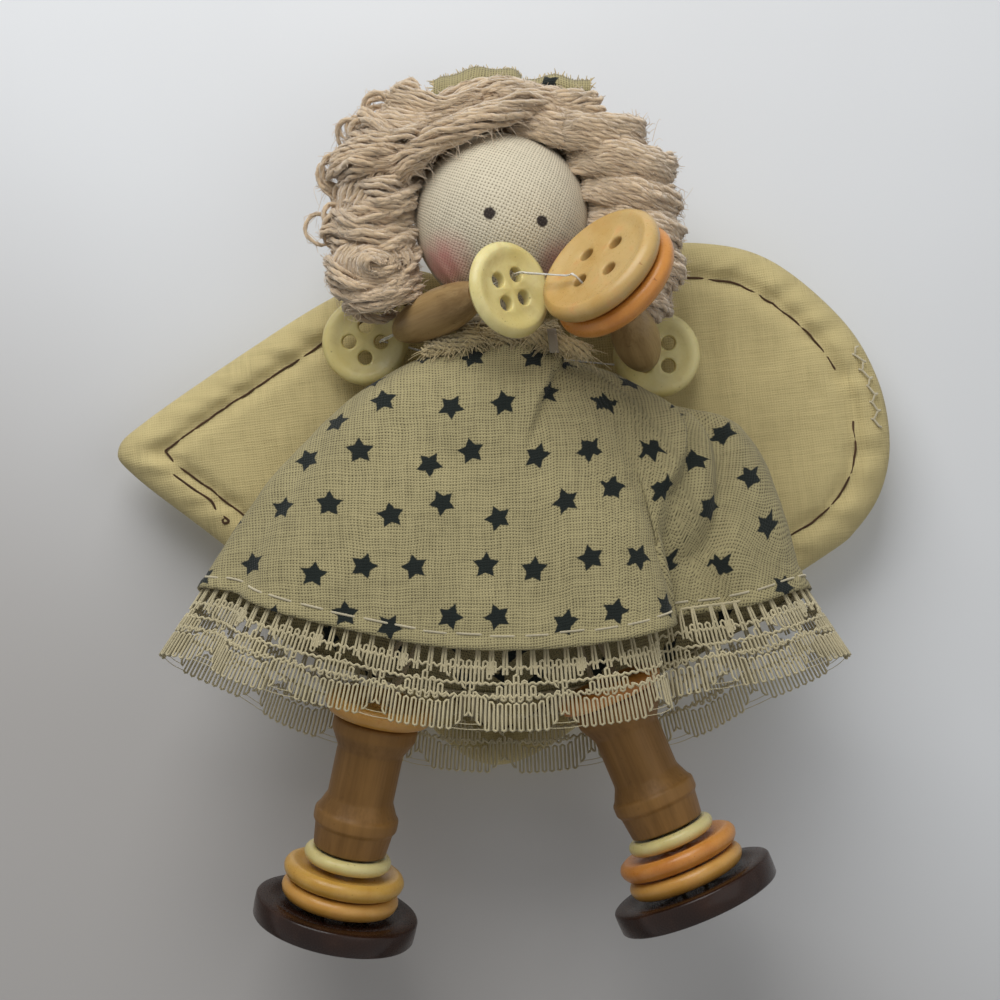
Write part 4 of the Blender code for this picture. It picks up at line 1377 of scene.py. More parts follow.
@dataclass
class Wings:
    """The padded heart behind the doll, sewn round inside its rolled edge."""

    outline: tuple = (
        (-1.0, -49.0), (-20.0, -33.8), (-41.4, -16.6), (-54.6, -6.4), (-57.0, -2.4), (-52.6, 2.0),
        (-37.7, 12.3), (-25.9, 19.7), (-16.0, 24.0), (-7.5, 22.0), (-0.5, 14.5), (7.0, 22.5),
        (17.0, 27.0), (28.9, 28.0), (39.3, 25.4), (49.7, 16.8), (55.0, 8.0), (56.8, -1.0),
        (55.6, -8.4), (51.9, -14.3), (46.7, -18.5), (24.0, -33.0),
    )
    middle: float = -8.1
    half: float = 3.0
    roll: float = 5.0
    inset: float = 5.4
    groove: float = 1.15
    groove_width: float = 1.25
    hub: tuple = (0.0, -2.0)
    around: int = 520
    rings: int = 38
    stitch: float = 2.7
    thread: float = 0.17
    gap: tuple = (47.0, 2.4, 10.4)
    pucker: float = 0.5
    drag: float = 0.2
    lump: float = 0.06
    crease: float = 0.42
    grain: float = 7.0
    tails: tuple = (
        ((-52.8, 0.0, -4.1), (-51.4, 0.15, -4.6), (-49.6, 0.1, -5.4)),
        ((-52.4, 0.0, -4.4), (-51.0, 0.3, -5.0), (-49.3, 0.1, -5.7)),
        (
            (-49.4, 0.0, -5.6), (-47.4, 0.25, -7.0), (-45.0, 0.4, -8.7), (-43.0, 0.4, -10.0),
            (-42.3, 0.35, -11.4), (-41.7, 0.3, -12.6), (-40.6, 0.2, -13.8),
        ),
        (
            (-42.2, 0.2, -11.8), (-41.0, 0.5, -12.4), (-40.4, 0.55, -13.0), (-41.0, 0.5, -13.3),
            (-41.3, 0.45, -12.8), (-40.8, 0.4, -12.5),
        ),
    )
    closing: tuple = ((51.0, 12.6), (52.9, 8.6), (54.1, 4.6), (54.4, 0.8))

    def rim(self) -> Array:
        """The outline as evenly spaced (x, z) points, without repeating the first.

        Returns:
            The points.
        """
        line = smooth_path(self.outline, 24, closed=True)
        line = even_path(np.vstack([line, line[:1]]), 0.2)
        picks = np.linspace(0, len(line) - 1, self.around + 1).round().astype(int)
        return line[picks[:-1]]

    def inwards(self, places: Array, rim: Array) -> Array:
        """Each place's distance from the outline.

        Args:
            places: Points as (x, z).
            rim: The outline's (x, z) points.

        Returns:
            The distances.
        """
        ends = np.roll(rim, -1, axis=0)
        spans = ends - rim
        least = np.full(len(places), 1e9)
        for start, span in zip(rim, spans):
            away = places - start
            share = np.clip(away @ span / span.dot(span), 0.0, 1.0)
            least = np.minimum(least, np.hypot(*(away - share[:, None] * span).T))
        return least

    def puff(self, inset: Array) -> Array:
        """The padding's half thickness at a distance from the edge."""
        roll = np.sqrt(np.maximum(0.0, 1.0 - (1.0 - np.minimum(inset / self.roll, 1.0)) ** 2))
        return self.half * roll - self.groove * bell(inset, self.inset, self.groove_width)

    def build(self, bench: Bench) -> None:
        """Makes the pad and its stitching.

        Args:
            bench: Where the pieces are finished and seated.
        """
        rim = self.rim()
        nodes = ["wing_front", "wing_back", "wing_batting"]
        pad = bench.seat("wing_pad", self.pad(rim), WING_CLOTH, "doll", "wing_muslin", nodes, sharp=SMOOTH)
        bench.seat("wing_topstitch", self.topstitch(rim).sweep(), BROWN_THREAD, "doll", "cord")
        bench.seat("wing_closing_stitch", self.closing_stitch().sweep(), HEM_THREAD, "doll", "cord")

    def pad(self, rim: Array) -> Draft:
        """The pad: both faces from the hub to the edge and back, with puckers along the seam.

        Args:
            rim: The outline's (x, z) points.

        Returns:
            The pad, closed at its edge and hub.
        """
        hub = np.array(self.hub)
        share = np.linspace(-1.0, 1.0, 2 * self.rings + 1)
        reach = 1.0 - np.abs(share) ** 1.9
        side = np.where(share <= 0.0, -1.0, 1.0)
        edge = np.vstack([rim, rim[:1]])
        flat = hub + (edge[None] - hub) * reach[:, None, None]
        inset = self.inwards(flat.reshape(-1, 2), rim).reshape(flat.shape[:2])
        run = run_of(edge)
        puckers = np.zeros_like(run)
        draw = np.random.default_rng(5)
        for _ in range(9):
            turns = round(run[-1] / draw.uniform(2.6, 8.0))
            wave = np.sin(TAU * turns * run / run[-1] + draw.uniform(0.0, TAU))
            puckers += wave * draw.uniform(0.4, 1.0)
        puckers /= np.abs(puckers).max()
        face = side[:, None] + np.zeros(flat.shape[:2])
        drag = Ripple(21, 11.0).at(np.dstack([flat, face * 40.0]))
        lumps = Ripple(22, 3.2).at(np.dstack([flat, face * 20.0]))
        seam = bell(inset, 3.6, 2.6) * np.minimum(inset, 1.0)
        ways = np.where(side < 0, 1.0, -1.0)[:, None]
        height = self.puff(inset) + seam * self.pucker * puckers[None] * ways
        across, up = flat[..., 0], flat[..., 1]
        pulled = np.exp(-(((across - 29.0) / 7.0) ** 2 + ((up - 8.0) / 13.0) ** 2))
        creases = pulled * np.sin(TAU * across / 5.4 + 0.06 * up)
        uneven = self.drag * drag + self.lump * lumps + self.crease * creases
        height = height + ramp(inset, 6.0, 4.0) * uneven
        depth = self.middle + side[:, None] * np.maximum(height, 0.0)
        table = np.dstack([across, depth, up])
        turn = math.radians(self.grain)
        grain = np.array([[math.cos(turn), -math.sin(turn)], [math.sin(turn), math.cos(turn)]])
        return shaped_grid(table, flat @ grain, weld=True)

    def seam(self, rim: Array) -> Array:
        """The line of stitching inside the edge, as (x, z) points.

        Args:
            rim: The outline's (x, z) points.

        Returns:
            Those of its points that keep their distance from the edge.
        """
        heading = unit(np.roll(rim, -1, axis=0) - np.roll(rim, 1, axis=0))
        aside = np.stack([-heading[:, 1], heading[:, 0]], axis=1) * self.inset
        inner = rim + aside
        short = self.inwards(inner[:1], rim)[0] < self.inset - 0.3
        if short or np.abs(inner).max() > np.abs(rim).max():
            inner = rim - aside
        return inner[self.inwards(inner, rim) > self.inset - 0.12]

    def topstitch(self, rim: Array) -> Strands:
        """Dark stitches through both faces, left off where the pad was closed, and loose ends.

        Args:
            rim: The outline's (x, z) points.

        Returns:
            The threads.
        """
        strands = Strands(Sides.SIX)
        seam = self.seam(rim)
        seam = even_path(np.vstack([seam, seam[:1]]), self.stitch)
        draw = np.random.default_rng(8)
        surface = float(self.puff(np.array([self.inset]))[0])
        share = np.linspace(0.0, 1.0, 7)
        dip = 0.12 * np.abs(2.0 * share - 1.0) ** 8
        for start, end in zip(seam, seam[1:]):
            least_x, low, high = self.gap
            if start[0] > least_x and low < start[1] < high:
                continue
            wobble = draw.uniform(-0.16, 0.16, 2)
            line = (
                start + (end - start) * (0.01 + 0.98 * share[:, None])
                + wobble * np.sin(math.pi * share)[:, None]
            )
            for face in (-1.0, 1.0):
                depth = self.middle + face * (surface + 0.1 - dip)
                strands.lay(np.column_stack([line[:, 0], depth, line[:, 1]]), self.thread)
        front = self.middle - surface - 0.35
        for tail in self.tails:
            line = smooth_path([(x, front - off, z) for x, off, z in tail], 8)
            strands.lay(line, self.thread * 1.1)
        return strands

    def closing_stitch(self) -> Strands:
        """The small pale stitches that closed the pad on its right edge.

        Returns:
            The threads.
        """
        strands = Strands(Sides.SIX)
        line = even_path(smooth_path(self.closing, 8), 1.25)
        draw = np.random.default_rng(15)
        for index, (start, end) in enumerate(zip(line, line[1:])):
            lean = 0.75 if index % 2 else -0.75
            depth = self.middle - float(self.puff(np.array([2.4]))[0]) - 0.16
            path = [
                (start[0] - lean, depth + 0.3, start[1]),
                (start[0] - lean * 0.4, depth - 0.08, start[1] - 0.2),
                (end[0] + lean * 0.4, depth - 0.1, end[1] + draw.uniform(-0.2, 0.2)),
                (end[0] + lean, depth + 0.3, end[1]),
            ]
            strands.lay(smooth_path(path, 4), 0.15)
        return strands


@dataclass
class Head:
    """The muslin-covered ball and the thread that gathers it into a neck."""

    centre: tuple = (-0.4, -22.7, 29.3)
    radius: float = 12.3
    neck_radius: float = 4.2
    neck_top: float = 17.6
    neck_base: float = 13.0
    tie_height: float = 15.0
    tie_radius: float = 4.85
    steps: int = 144
    rows: int = 72
    grain: float = 24.0

    def build(self, bench: Bench) -> None:
        """Makes the cover and its tie.

        Args:
            bench: Where the pieces are finished and seated.
        """
        x, y, z = self.centre
        stop = math.pi - math.asin((self.neck_radius + 0.5) / self.radius)
        profile = []
        for row in range(self.rows + 1):
            angle = stop * row / self.rows
            profile.append((self.radius * math.sin(angle), self.radius * math.cos(angle)))
        for share in (0.35, 0.7, 1.0):
            height = profile[self.rows][1] + (self.neck_base - z - profile[self.rows][1]) * share
            profile.append((self.neck_radius + 0.25 * math.cos(share * TAU), height))
        profile.append((0.0, self.neck_base - z))
        body = turned(profile, self.steps)
        self.gather(body)
        self.wrap(body)
        place = Matrix.Translation((x, y, z))
        cover = bench.seat("head_muslin", body, FACE, "doll", "muslin", ["head_cover"], place, SMOOTH)
        tie = Strands(Sides.SIX)
        turn = np.linspace(0.0, 3.6 * TAU, 200)
        coil = np.column_stack(
            [
                x + self.tie_radius * np.cos(turn), y + self.tie_radius * np.sin(turn),
                self.tie_height + 0.45 * np.sin(turn / 3.6 * 1.5),
            ]
        )
        tie.lay(coil, 0.27)
        bench.seat("neck_thread", tie.sweep(), COTTON_CORD, "doll", "cord", ["neck_tie"])

    def gather(self, body: Draft) -> None:
        """Folds the cloth where it is drawn in to the neck.

        Args:
            body: The cover, about the ball's centre.
        """
        low = self.neck_top - self.centre[2]
        for vert in body.verts:
            pull = min(max((low + 6.0 - vert.co.z) / 6.0, 0.0), 1.0)
            if pull > 0.0 and vert.co.xy.length > 0.1:
                angle = math.atan2(vert.co.y, vert.co.x)
                swell = 1.0 + 0.05 * pull * math.cos(17.0 * angle + 1.4 * math.sin(3.0 * angle))
                vert.co.x *= swell
                vert.co.y *= swell

    def wrap(self, body: Draft) -> None:
        """Lays the cloth's grain over the ball from the middle of the face.

        Args:
            body: The cover, about the ball's centre.
        """
        layer = body.loops.layers.uv.new(Where.CLOTH.value)
        turn = Matrix.Rotation(math.radians(self.grain), 2)
        for face in body.faces:
            for loop in face.loops:
                way = loop.vert.co.normalized()
                tilt = math.acos(max(-1.0, min(1.0, -way.y)))
                flat = turn @ Vector((way.x, way.z))
                reach = flat.length
                loop[layer].uv = flat * (self.radius * tilt / reach) if reach > 1e-6 else flat


@dataclass
class Body:
    """The stuffed body under the dress."""

    depth: float = -21.8
    diameter: float = 16.4
    low: float = -13.0
    high: float = 12.7
    outline: tuple = (
        (0.0, 0.46), (0.06, 0.51), (0.2, 0.61), (0.42, 0.88), (0.66, 1.0), (0.86, 0.97),
        (0.96, 0.88), (1.0, 0.75),
    )

    def build(self, bench: Bench) -> None:
        """Makes the body from its outline.

        Args:
            bench: Where the pieces are finished and seated.
        """
        line = smooth_path(self.outline, 5)
        tall = self.high - self.low
        profile = (
            [(0.0, tall)] + [(w * self.diameter / 2.0, tall * (1.0 - f)) for f, w in line]
            + [(0.0, 0.0)]
        )
        shape = turned(profile, 64)
        layer = shape.loops.layers.uv.new(Where.CLOTH.value)
        for face in shape.faces:
            for loop in face.loops:
                at = loop.vert.co
                loop[layer].uv = (math.atan2(at.x, -at.y) * self.diameter / 2.0, at.z)
        place = Matrix.Translation((0.0, self.depth, self.low))
        piece = bench.seat("body_stuffed", shape, BODY_CLOTH, "doll", "muslin", ["stuffed_body"], place)


@dataclass
class Dress:
    """The gathered dress: its cloth and its hem stitches."""

    axis_depth: float = -21.8
    neck_radius: float = 5.1
    neck_height: float = 10.7
    neck_tilt: float = 1.1
    hem_half_width: float = 42.9
    hem_front: float = -38.5
    back: float = -11.6
    hem_height: float = -28.5
    hem_lift: float = 4.5
    hem_dip: float = -6.0
    back_full: float = 0.3
    lean: float = 1.15
    growth: float = 1.2
    folds: tuple = (
        (40.0, 6.4, 8.0), (-28.0, 1.6, 12.0), (-66.0, 2.0, 9.0), (128.0, 2.2, 11.0),
        (166.0, 1.8, 11.0), (204.0, 2.0, 11.0), (238.0, 2.2, 11.0),
    )
    cloth: float = 0.42
    columns: int = 440
    rows: int = 84
    stitch_above: float = 1.9
    cut_radius: float = 7.7
    skirt: float = 40.0
    hem_steps: int = 1441
    gathers: float = 0.2
    lap: tuple = ((0.0, 0.03, 0.1, 0.2, 0.28, 0.4), (50.0, 40.0, 22.0, 12.6, 8.5, 4.0))
    lap_lift: float = 2.0
    panel: tuple = ((0.0, 0.12, 0.56, 0.83, 1.0), (84.0, 74.0, 45.5, 39.4, 37.0))
    panel_lift: float = 2.7
    groove: tuple = ((0.2, 0.8), (86.0, 47.0))
    groove_depth: float = 2.0
    side_fullness: float = 5.2
    wrinkles: float = 0.17
    crumples: float = 0.06

    def places(self, angle: Array, drop: Array) -> Array:
        """Places on the dress.

        Args:
            angle: From the front towards +X, in radians.
            drop: From 0 at the neck to 1 at the hem.

        Returns:
            Points, in an array one side longer than angle.
        """
        angle, drop = np.broadcast_arrays(np.asarray(angle, float), np.asarray(drop, float))
        spread = np.sqrt(drop)
        front_neck = self.axis_depth - self.neck_radius
        back_neck = self.axis_depth + self.neck_radius
        half_width = self.neck_radius + (self.hem_half_width - self.neck_radius) * spread
        front = front_neck + (self.hem_front - front_neck) * spread
        back = back_neck + (self.back - back_neck) * np.sqrt(np.minimum(drop / self.back_full, 1.0))
        toward = ((1.0 + np.cos(angle)) / 2.0) ** self.lean
        x, y = half_width * np.sin(angle), back + (front - back) * toward
        inward = unit(np.stack([-x, (front + back) / 2.0 - y], axis=-1))
        pull = np.zeros_like(x)
        for middle, depth, half in self.folds:
            away = (np.degrees(angle) - middle + 180.0) % 360.0 - 180.0
            pull = pull + depth * drop**self.growth * bell(away, 0.0, half)
        neck = self.neck_height + self.neck_tilt * np.cos(angle)
        hem = self.hem_height + self.hem_lift * np.cos(angle) + self.hem_dip * np.cos(2.0 * angle)
        return np.stack(
            [x + inward[..., 0] * pull, y + inward[..., 1] * pull, neck + (hem - neck) * drop],
            axis=-1
        )

    def normals(self, angle: Array, drop: Array) -> Array:
        """Directions out of the dress.

        Args:
            angle: From the front towards +X, in radians.
            drop: From 0 at the neck to 1 at the hem.

        Returns:
            Vectors one long.
        """
        turn, fall = 1e-3, 1e-3
        drop = np.maximum(np.asarray(drop, float), 0.01)
        round_it = self.places(angle + turn, drop) - self.places(angle - turn, drop)
        down = self.places(angle, drop + fall) - self.places(angle, drop - fall)
        return unit(np.cross(down, round_it))

    def surface(self, angle: Array, drop: Array) -> Array:
        """The cloth as it lies, with gathers, a lapped front, a side panel and a turned hem.

        Args:
            angle: From the front towards +X, in radians.
            drop: From 0 at the neck to 1 at the hem.

        Returns:
            Points, in an array one side longer than angle.
        """
        angle, drop = np.broadcast_arrays(np.asarray(angle, float), np.asarray(drop, float))
        place, out = self.places(angle, drop), self.normals(angle, drop)
        degrees = np.degrees(angle)
        near_neck = np.exp(-drop / 0.06)
        lift = self.gathers * near_neck * np.cos(34.0 * angle + 3.0 * np.sin(2.0 * angle))
        lap_at = np.interp(drop, *self.lap)
        lift = lift + self.lap_lift * self.step_at(degrees, lap_at, 38.0) * ramp(drop, 0.38, -0.2)
        under = np.clip((degrees - lap_at) / 2.0 + 0.5, 0.0, 1.0) * ramp(degrees, 110.0, -30.0)
        place = place - np.array([0.0, 0.0, 1.5]) * (under * near_neck)[..., None]
        panel = self.step_at(degrees, np.interp(drop, *self.panel), 30.0, 1.5)
        lift = lift + self.panel_lift * panel * ramp(drop, 0.14, 0.22)
        full = bell(degrees, 90.0, 27.0) * np.sin(math.pi * ramp(drop, 0.0, 0.9) ** 0.8)
        below_arm = ramp(drop, 0.16, 0.26)
        lift = lift + self.side_fullness * full * below_arm**2 * (3.0 - 2.0 * below_arm)
        groove = bell(degrees, np.interp(drop, *self.groove), 4.0) * ramp(drop, 0.15, 0.2)
        lift = lift - self.groove_depth * groove
        below_neck = ramp(drop, 0.0, 0.1)
        lift = lift + self.wrinkles * Ripple(31, 9.0).at(place) * below_neck
        lift = lift + self.crumples * Ripple(32, 3.4).at(place) * below_neck
        above = (1.0 - drop) * self.skirt
        lift = lift + 0.16 * ramp(above, self.stitch_above, -0.4)
        lift = lift - 0.14 * bell(above, self.stitch_above, 0.35)
        return place + out * lift[..., None]

    @staticmethod
    def step_at(degrees: Array, edge: Array, fade: float, soft: float = 1.1) -> Array:
        """A step down past an edge, fading away on the side before it."""
        before = np.clip((edge - degrees) / soft, -9.0, 9.0)
        return np.exp(-np.maximum(edge - degrees, 0.0) / fade) / (1.0 + np.exp(-4.0 * before))

    @staticmethod
    def lengths(table: Array, axis: int) -> Array:
        """How far along its rows or columns each of a grid's places is.

        Args:
            table: Places, rows by columns by 3.
            axis: 1 to go along the rows, 0 along the columns.

        Returns:
            The lengths, in millimetres.
        """
        steps = np.linalg.norm(np.diff(table, axis=axis), axis=2)
        start = np.zeros_like(np.take(steps, [0], axis=axis))
        return np.concatenate([start, np.cumsum(steps, axis=axis)], axis=axis)

    def build(self, bench: Bench) -> None:
        """Makes the cloth and the hem's stitches.

        Args:
            bench: Where the pieces are finished and seated.
        """
        angle = np.linspace(-math.pi, math.pi, self.columns + 1)
        drop = np.linspace(0.0, 1.0, self.rows + 1) ** 1.15
        table = self.surface(angle[None, :], drop[:, None])
        table[:, -1] = table[:, 0]
        across = self.lengths(table, 1)
        across -= across[:, self.columns // 2][:, None]
        reach = self.cut_radius + self.lengths(table, 0)
        turn = across / reach
        grid = shaped_grid(table, np.dstack([reach * np.sin(turn), -reach * np.cos(turn)]), weld=True)
        cloth = bench.seat("dress_cloth", grid, STAR_CLOTH, "doll", "star_cloth", ["dress"], sharp=SMOOTH)
        give_thickness(cloth, self.cloth)
        stitches = bench.seat("hem_stitches", self.hem_stitches().sweep(), HEM_THREAD, "doll", "cord")

    def hem_stitches(self) -> Strands:
        """Pale running stitches above the hem.

        Returns:
            The threads.
        """
        strands = Strands(Sides.SIX)
        angle = np.linspace(-math.pi, math.pi, self.hem_steps)
        drop = np.full_like(angle, 1.0 - self.stitch_above / self.skirt)
        line, out = self.surface(angle, drop), self.normals(angle, drop)
        run = run_of(line)
        draw = np.random.default_rng(41)
        at = 0.0
        while at < run[-1] - 5.0:
            long = draw.uniform(2.9, 3.9)
            wanted = np.linspace(at, at + long, 10)
            share = np.linspace(-1.0, 1.0, 10)
            path, lift = picked(line, run, wanted), picked(out, run, wanted)
            slip = draw.uniform(-0.12, 0.12)
            path = (
                path + lift * (0.2 - 0.36 * np.abs(share) ** 6)[:, None]
                + np.array([0.0, 0.0, slip])
            )
            strands.lay(path, 0.16)
            at += long + draw.uniform(0.7, 1.2)
        return strands


@dataclass
class Lace:
    """The knitted lace sewn inside the hem, made of its cords."""

    dress: Dress
    repeat: float = 12.6
    pitch: float = 1.05
    cord: float = 0.18
    tuck: float = -1.0
    first_bar: float = 2.3
    second_bar: float = 6.1
    deep: float = 10.5
    notch: float = 2.3
    stand_off: float = 0.58
    flare: float = 0.055
    waves: int = 11
    wave_depth: float = 0.14
    drop: float = 11.0
    web: float = 0.05
    crown_half: float = 3.1
    fan_half: float = 3.4
    fan_start: float = 0.2
    fan_top: float = 1.55
    tie_step: float = 1.92

    def build(self, bench: Bench) -> None:
        """Makes the lace in two halves, front and back.

        Args:
            bench: Where the pieces are finished and seated.
        """
        angle = np.linspace(-math.pi, math.pi, self.dress.hem_steps)
        one = np.ones_like(angle)
        hem = self.dress.places(angle, one)
        slope = unit(hem - self.dress.places(angle, 0.9 * one))
        out = self.dress.normals(angle, 0.98 * one)
        run = run_of(hem + slope * 5.0)
        self.table = (run, angle, hem, slope, out)
        count = round(run[-1] / self.repeat)
        self.length = run[-1]
        self.span = run[-1] / count
        front, back = Strands(), Strands()
        for line in self.lines(count):
            placed = self.placed(line)
            half = back if abs(line[:, 0].mean() / self.length - 0.5) > 0.27 else front
            half.lay(placed, self.cord)
        webs = Strands()
        for line in self.webs(count):
            webs.lay(self.placed(line), self.web)
        web = bench.seat("hem_lace_web", webs.sweep(), LACE_COTTON, "doll", "lace", sharp=SMOOTH)
        for name, half, nodes, share, extra in (
            ("hem_lace_front", front, ["hem_lace"], 0.54, [web]),
            ("hem_lace_back", back, [], 0.46, []),
        ):
            piece = bench.seat(name, half.sweep(), LACE_COTTON, "doll", "lace", nodes, sharp=SMOOTH)
        LOG.info("lace is %.1f mm long in %d repeats", self.length, count)

    def placed(self, line: Array) -> Array:
        """A line of the flat lace, put in place under the hem.

        Args:
            line: Points as (along the lace, below the hem).

        Returns:
            Its points in the doll.
        """
        run, angle, hem, slope, out = self.table
        at = np.clip(line[:, 0], 0.0, self.length)
        edge, down, outward = (picked(side, run, at) for side in (hem, slope, out))
        below = line[:, 1]
        turn = np.interp(at, run, angle)
        hung = np.maximum(below, 0.0)
        wave = self.wave_depth * hung / self.drop * (1.0 + np.cos(self.waves * turn))
        wave = wave - self.flare * hung
        return edge + down * below[:, None] - outward * (self.stand_off + wave)[:, None]

    def off_notch(self, at: float) -> float:
        """How far a place along the lace is from the nearest notch."""
        return abs((at / self.span + 0.5) % 1.0 - 0.5) * self.span

    def loops(self, start: float, end: float, top: Edge, low: Edge) -> Array:
        """One cord going down and up between two edges.

        Args:
            start: Where it starts along the lace.
            end: Where it ends.
            top: Gives the upper edge at a place.
            low: Gives the lower edge at a place.

        Returns:
            Its points in the flat lace.
        """
        half = self.pitch / 2.0
        count = max(2, int(round((end - start) / half)))
        places = np.linspace(start, end, count)
        line = []
        for index, at in enumerate(places):
            high, deep = top(at), low(at)
            ends = (high, deep) if index % 2 == 0 else (deep, high)
            mid = (high + deep) / 2.0
            line += [(at, ends[0]), (at, mid), (at, ends[1])]
            if index < count - 1:
                outward = 0.17 if index % 2 == 0 else -0.17
                turn_at = low if index % 2 == 0 else top
                level = (turn_at(at) + turn_at(places[index + 1])) / 2.0
                line.append((at + half / 2.0, level + outward))
        return np.array(line)

    def lines(self, count: int) -> list[Array]:
        """All the cords, flat.

        Args:
            count: How many repeats the lace has.

        Returns:
            One line for each cord.
        """
        found = []
        span = self.span
        rail = self.first_bar + 0.9
        tie = (
            (-0.26, rail), (-0.22, 1.0), (-0.14, self.tuck + 0.2), (0.0, self.tuck),
            (0.14, self.tuck + 0.2), (0.22, 1.0), (0.26, rail),
        )
        for index in range(count):
            base = index * span
            found.append(self.loops(base, base + span, self.band_top, self.band_low))
            crown = base + span / 2.0
            found.append(
                self.loops(
                    crown - self.crown_half, crown + self.crown_half,
                    lambda at, c=crown: 3.4 + 0.75 * round(abs(at - c) / 1.05),
                    lambda at, c=crown: 6.75 - 0.25 * round(abs(at - c) / 1.6),
                )
            )
            fan = base + span
            start, end = base - self.fan_half + span, base + self.fan_half + span
            if index == count - 1:
                fan, start, end = 0.0, self.fan_start, self.fan_half
            found.append(
                self.loops(
                    start, end, lambda at: self.fan_top,
                    lambda at, f=fan: 5.15 - 0.75 * round(abs(at - f) / 1.15),
                )
            )
            for pair in np.arange(0.9, span - 0.4, self.tie_step):
                found.append(np.array([(base + pair + aside, level) for aside, level in tie]))
            at = np.arange(base, base + span + 1e-6, span / 48.0)
            for level, size in (
                (self.first_bar, 0.22), (self.second_bar, 0.22), (self.tuck + 0.1, 0.05),
                (self.first_bar + 2.1, 0.14),
            ):
                found.append(np.column_stack([at, level + size * np.sin(TAU * at / self.pitch)]))
        return found

    def band_top(self, at: float) -> float:
        """The upper edge of the lowest band, which rises over each notch."""
        return 7.2 - 1.9 * max(0.0, 1.0 - self.off_notch(at) / 3.3)

    def band_low(self, at: float) -> float:
        """The scalloped lower edge."""
        return self.deep - max(0.0, self.notch - self.off_notch(at) * 1.05)

    def webs(self, count: int) -> list[Array]:
        """The fine threads that cross each notch.

        Args:
            count: How many repeats the lace has.

        Returns:
            One line for each thread.
        """
        found = []
        for index in range(1, count):
            middle = index * self.span
            for level, sag in ((self.deep - 0.1, 0.15), (self.deep - 0.75, 0.1)):
                half = 2.3 if level > self.deep - 0.5 else 1.5
                at = np.linspace(middle - half, middle + half, 7)
                hang = sag * np.cos((at - middle) / half * 1.5)
                found.append(np.column_stack([at, level + hang]))
        return found


@dataclass
class Collar:
    """The frayed strip in front of the neck, its ends over the shoulders, and a ribbon end."""

    radius: float = 6.6
    depth: float = -21.8
    height: float = 12.6
    rise: float = 1.6
    left: float = -62.0
    right: float = 108.0
    full: float = 1.0
    ends: tuple = (
        ((3.6, -29.6, 12.8), (7.2, -30.6, 11.6), (9.8, -30.6, 10.8), (11.6, -30.2, 10.2)),
        ((-3.4, -29.4, 12.9), (-6.6, -28.8, 11.9), (-9.2, -27.2, 11.2), (-10.8, -25.4, 10.8)),
    )
    fray: int = 300
    yarn: float = 0.36
    spin: float = 2.2
    pressed_to: float = 9.4

    def ring(self) -> Array:
        """The line round the neck.

        Returns:
            Its points.
        """
        angle = np.radians(np.linspace(self.left, self.right, 60))
        level = self.height + self.rise * (1.0 - np.cos(angle))
        return np.column_stack(
            [self.radius * np.sin(angle), self.depth - self.radius * np.cos(angle), level]
        )

    def build(self, bench: Bench) -> None:
        """Makes the twisted strips, their loose fibres and the ribbon.

        Args:
            bench: Where the pieces are finished and seated.
        """
        draw = np.random.default_rng(51)
        strands, loose = Strands(Sides.SIX), Strands()
        for line in [self.ring()] + [smooth_path(end, 10) for end in self.ends]:
            line = even_path(line, 0.4)
            for layer, count in ((1.0, 9), (0.45, 4)):
                pitch, phase = draw.uniform(14.0, 22.0), draw.uniform(0.0, TAU)
                for ply in plies_of(line, count, self.full * layer, pitch, phase):
                    turns, start = draw.uniform(0.8, 1.7), draw.uniform(0.0, TAU)
                    sway = 0.16 * np.sin(run_of(ply) * turns + start)
                    ply = ply + sway[:, None] * unit(draw.normal(size=3))
                    strands.twist(ply, self.yarn, self.spin, draw.uniform(0.0, TAU))
            for _ in range(int(self.fray * run_of(line)[-1] / 18.0)):
                self.lay_fibre(loose, line, draw)
        mesh = joined([strands.sweep(), loose.sweep()])
        strip = bench.seat("collar_fray", mesh, COLLAR_WOOL, "doll", "muslin", ["collar"], sharp=SMOOTH)
        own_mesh(strip)
        rows = np.linspace(0.0, 1.0, 9)
        table = np.zeros((9, 5, 3))
        for row, fall in enumerate(rows):
            for column, side in enumerate(np.linspace(-0.6, 0.6, 5)):
                depth = -32.0 - 0.5 * math.sin(fall * 2.6) + 0.15 * side * side
                table[row, column] = (6.3 + side + 0.4 * fall, depth, 13.4 - 3.2 * fall)
        flat = np.dstack(np.meshgrid(np.linspace(-0.6, 0.6, 5), rows * 3.4))
        ribbon = bench.seat(
            "ribbon_end", shaped_grid(table, flat, False), RIBBON, "doll", "muslin", sharp=SMOOTH
        )
        give_thickness(ribbon, 0.16)

    def lay_fibre(self, loose: Strands, line: Array, draw: Draw) -> None:
        """One fibre that has come out of a strip and hangs over the dress.

        Args:
            loose: Takes the fibre.
            line: The strip's line.
            draw: What its unevenness is drawn from.
        """
        at = draw.integers(0, len(line) - 1)
        along = unit(line[at + 1] - line[at])
        way = unit(draw.normal(size=3) * np.array([1.0, 0.5, 1.0]) + np.array([0.0, -0.7, -0.15]))
        lean = along * draw.normal(0.0, 1.3)
        step = np.linspace(0.0, 1.0, 6)[:, None]
        long = draw.uniform(0.9, 2.1)
        path = (
            line[at] + way * (self.full * 0.7 + long * step) + lean * step
            + np.array([0.0, 0.0, -0.6]) * step**2
        )
        loose.lay(path, np.linspace(0.11, 0.03, 6))


@dataclass(frozen=True)
class Lock:
    """One lock of yarn, from its root at the face's edge to where it turns back, each as (x, z)."""

    root: tuple[float, float]
    tip: tuple[float, float]
    width: float
    strands: int = 23
    crest: float = -30.4
    bend: float = 0.0


class Tidiness(Enum):
    """How far a lock's yarn strays from its lie."""

    COMBED = 0.35
    LOOSE = 0.6
    TOUSLED = 1.25


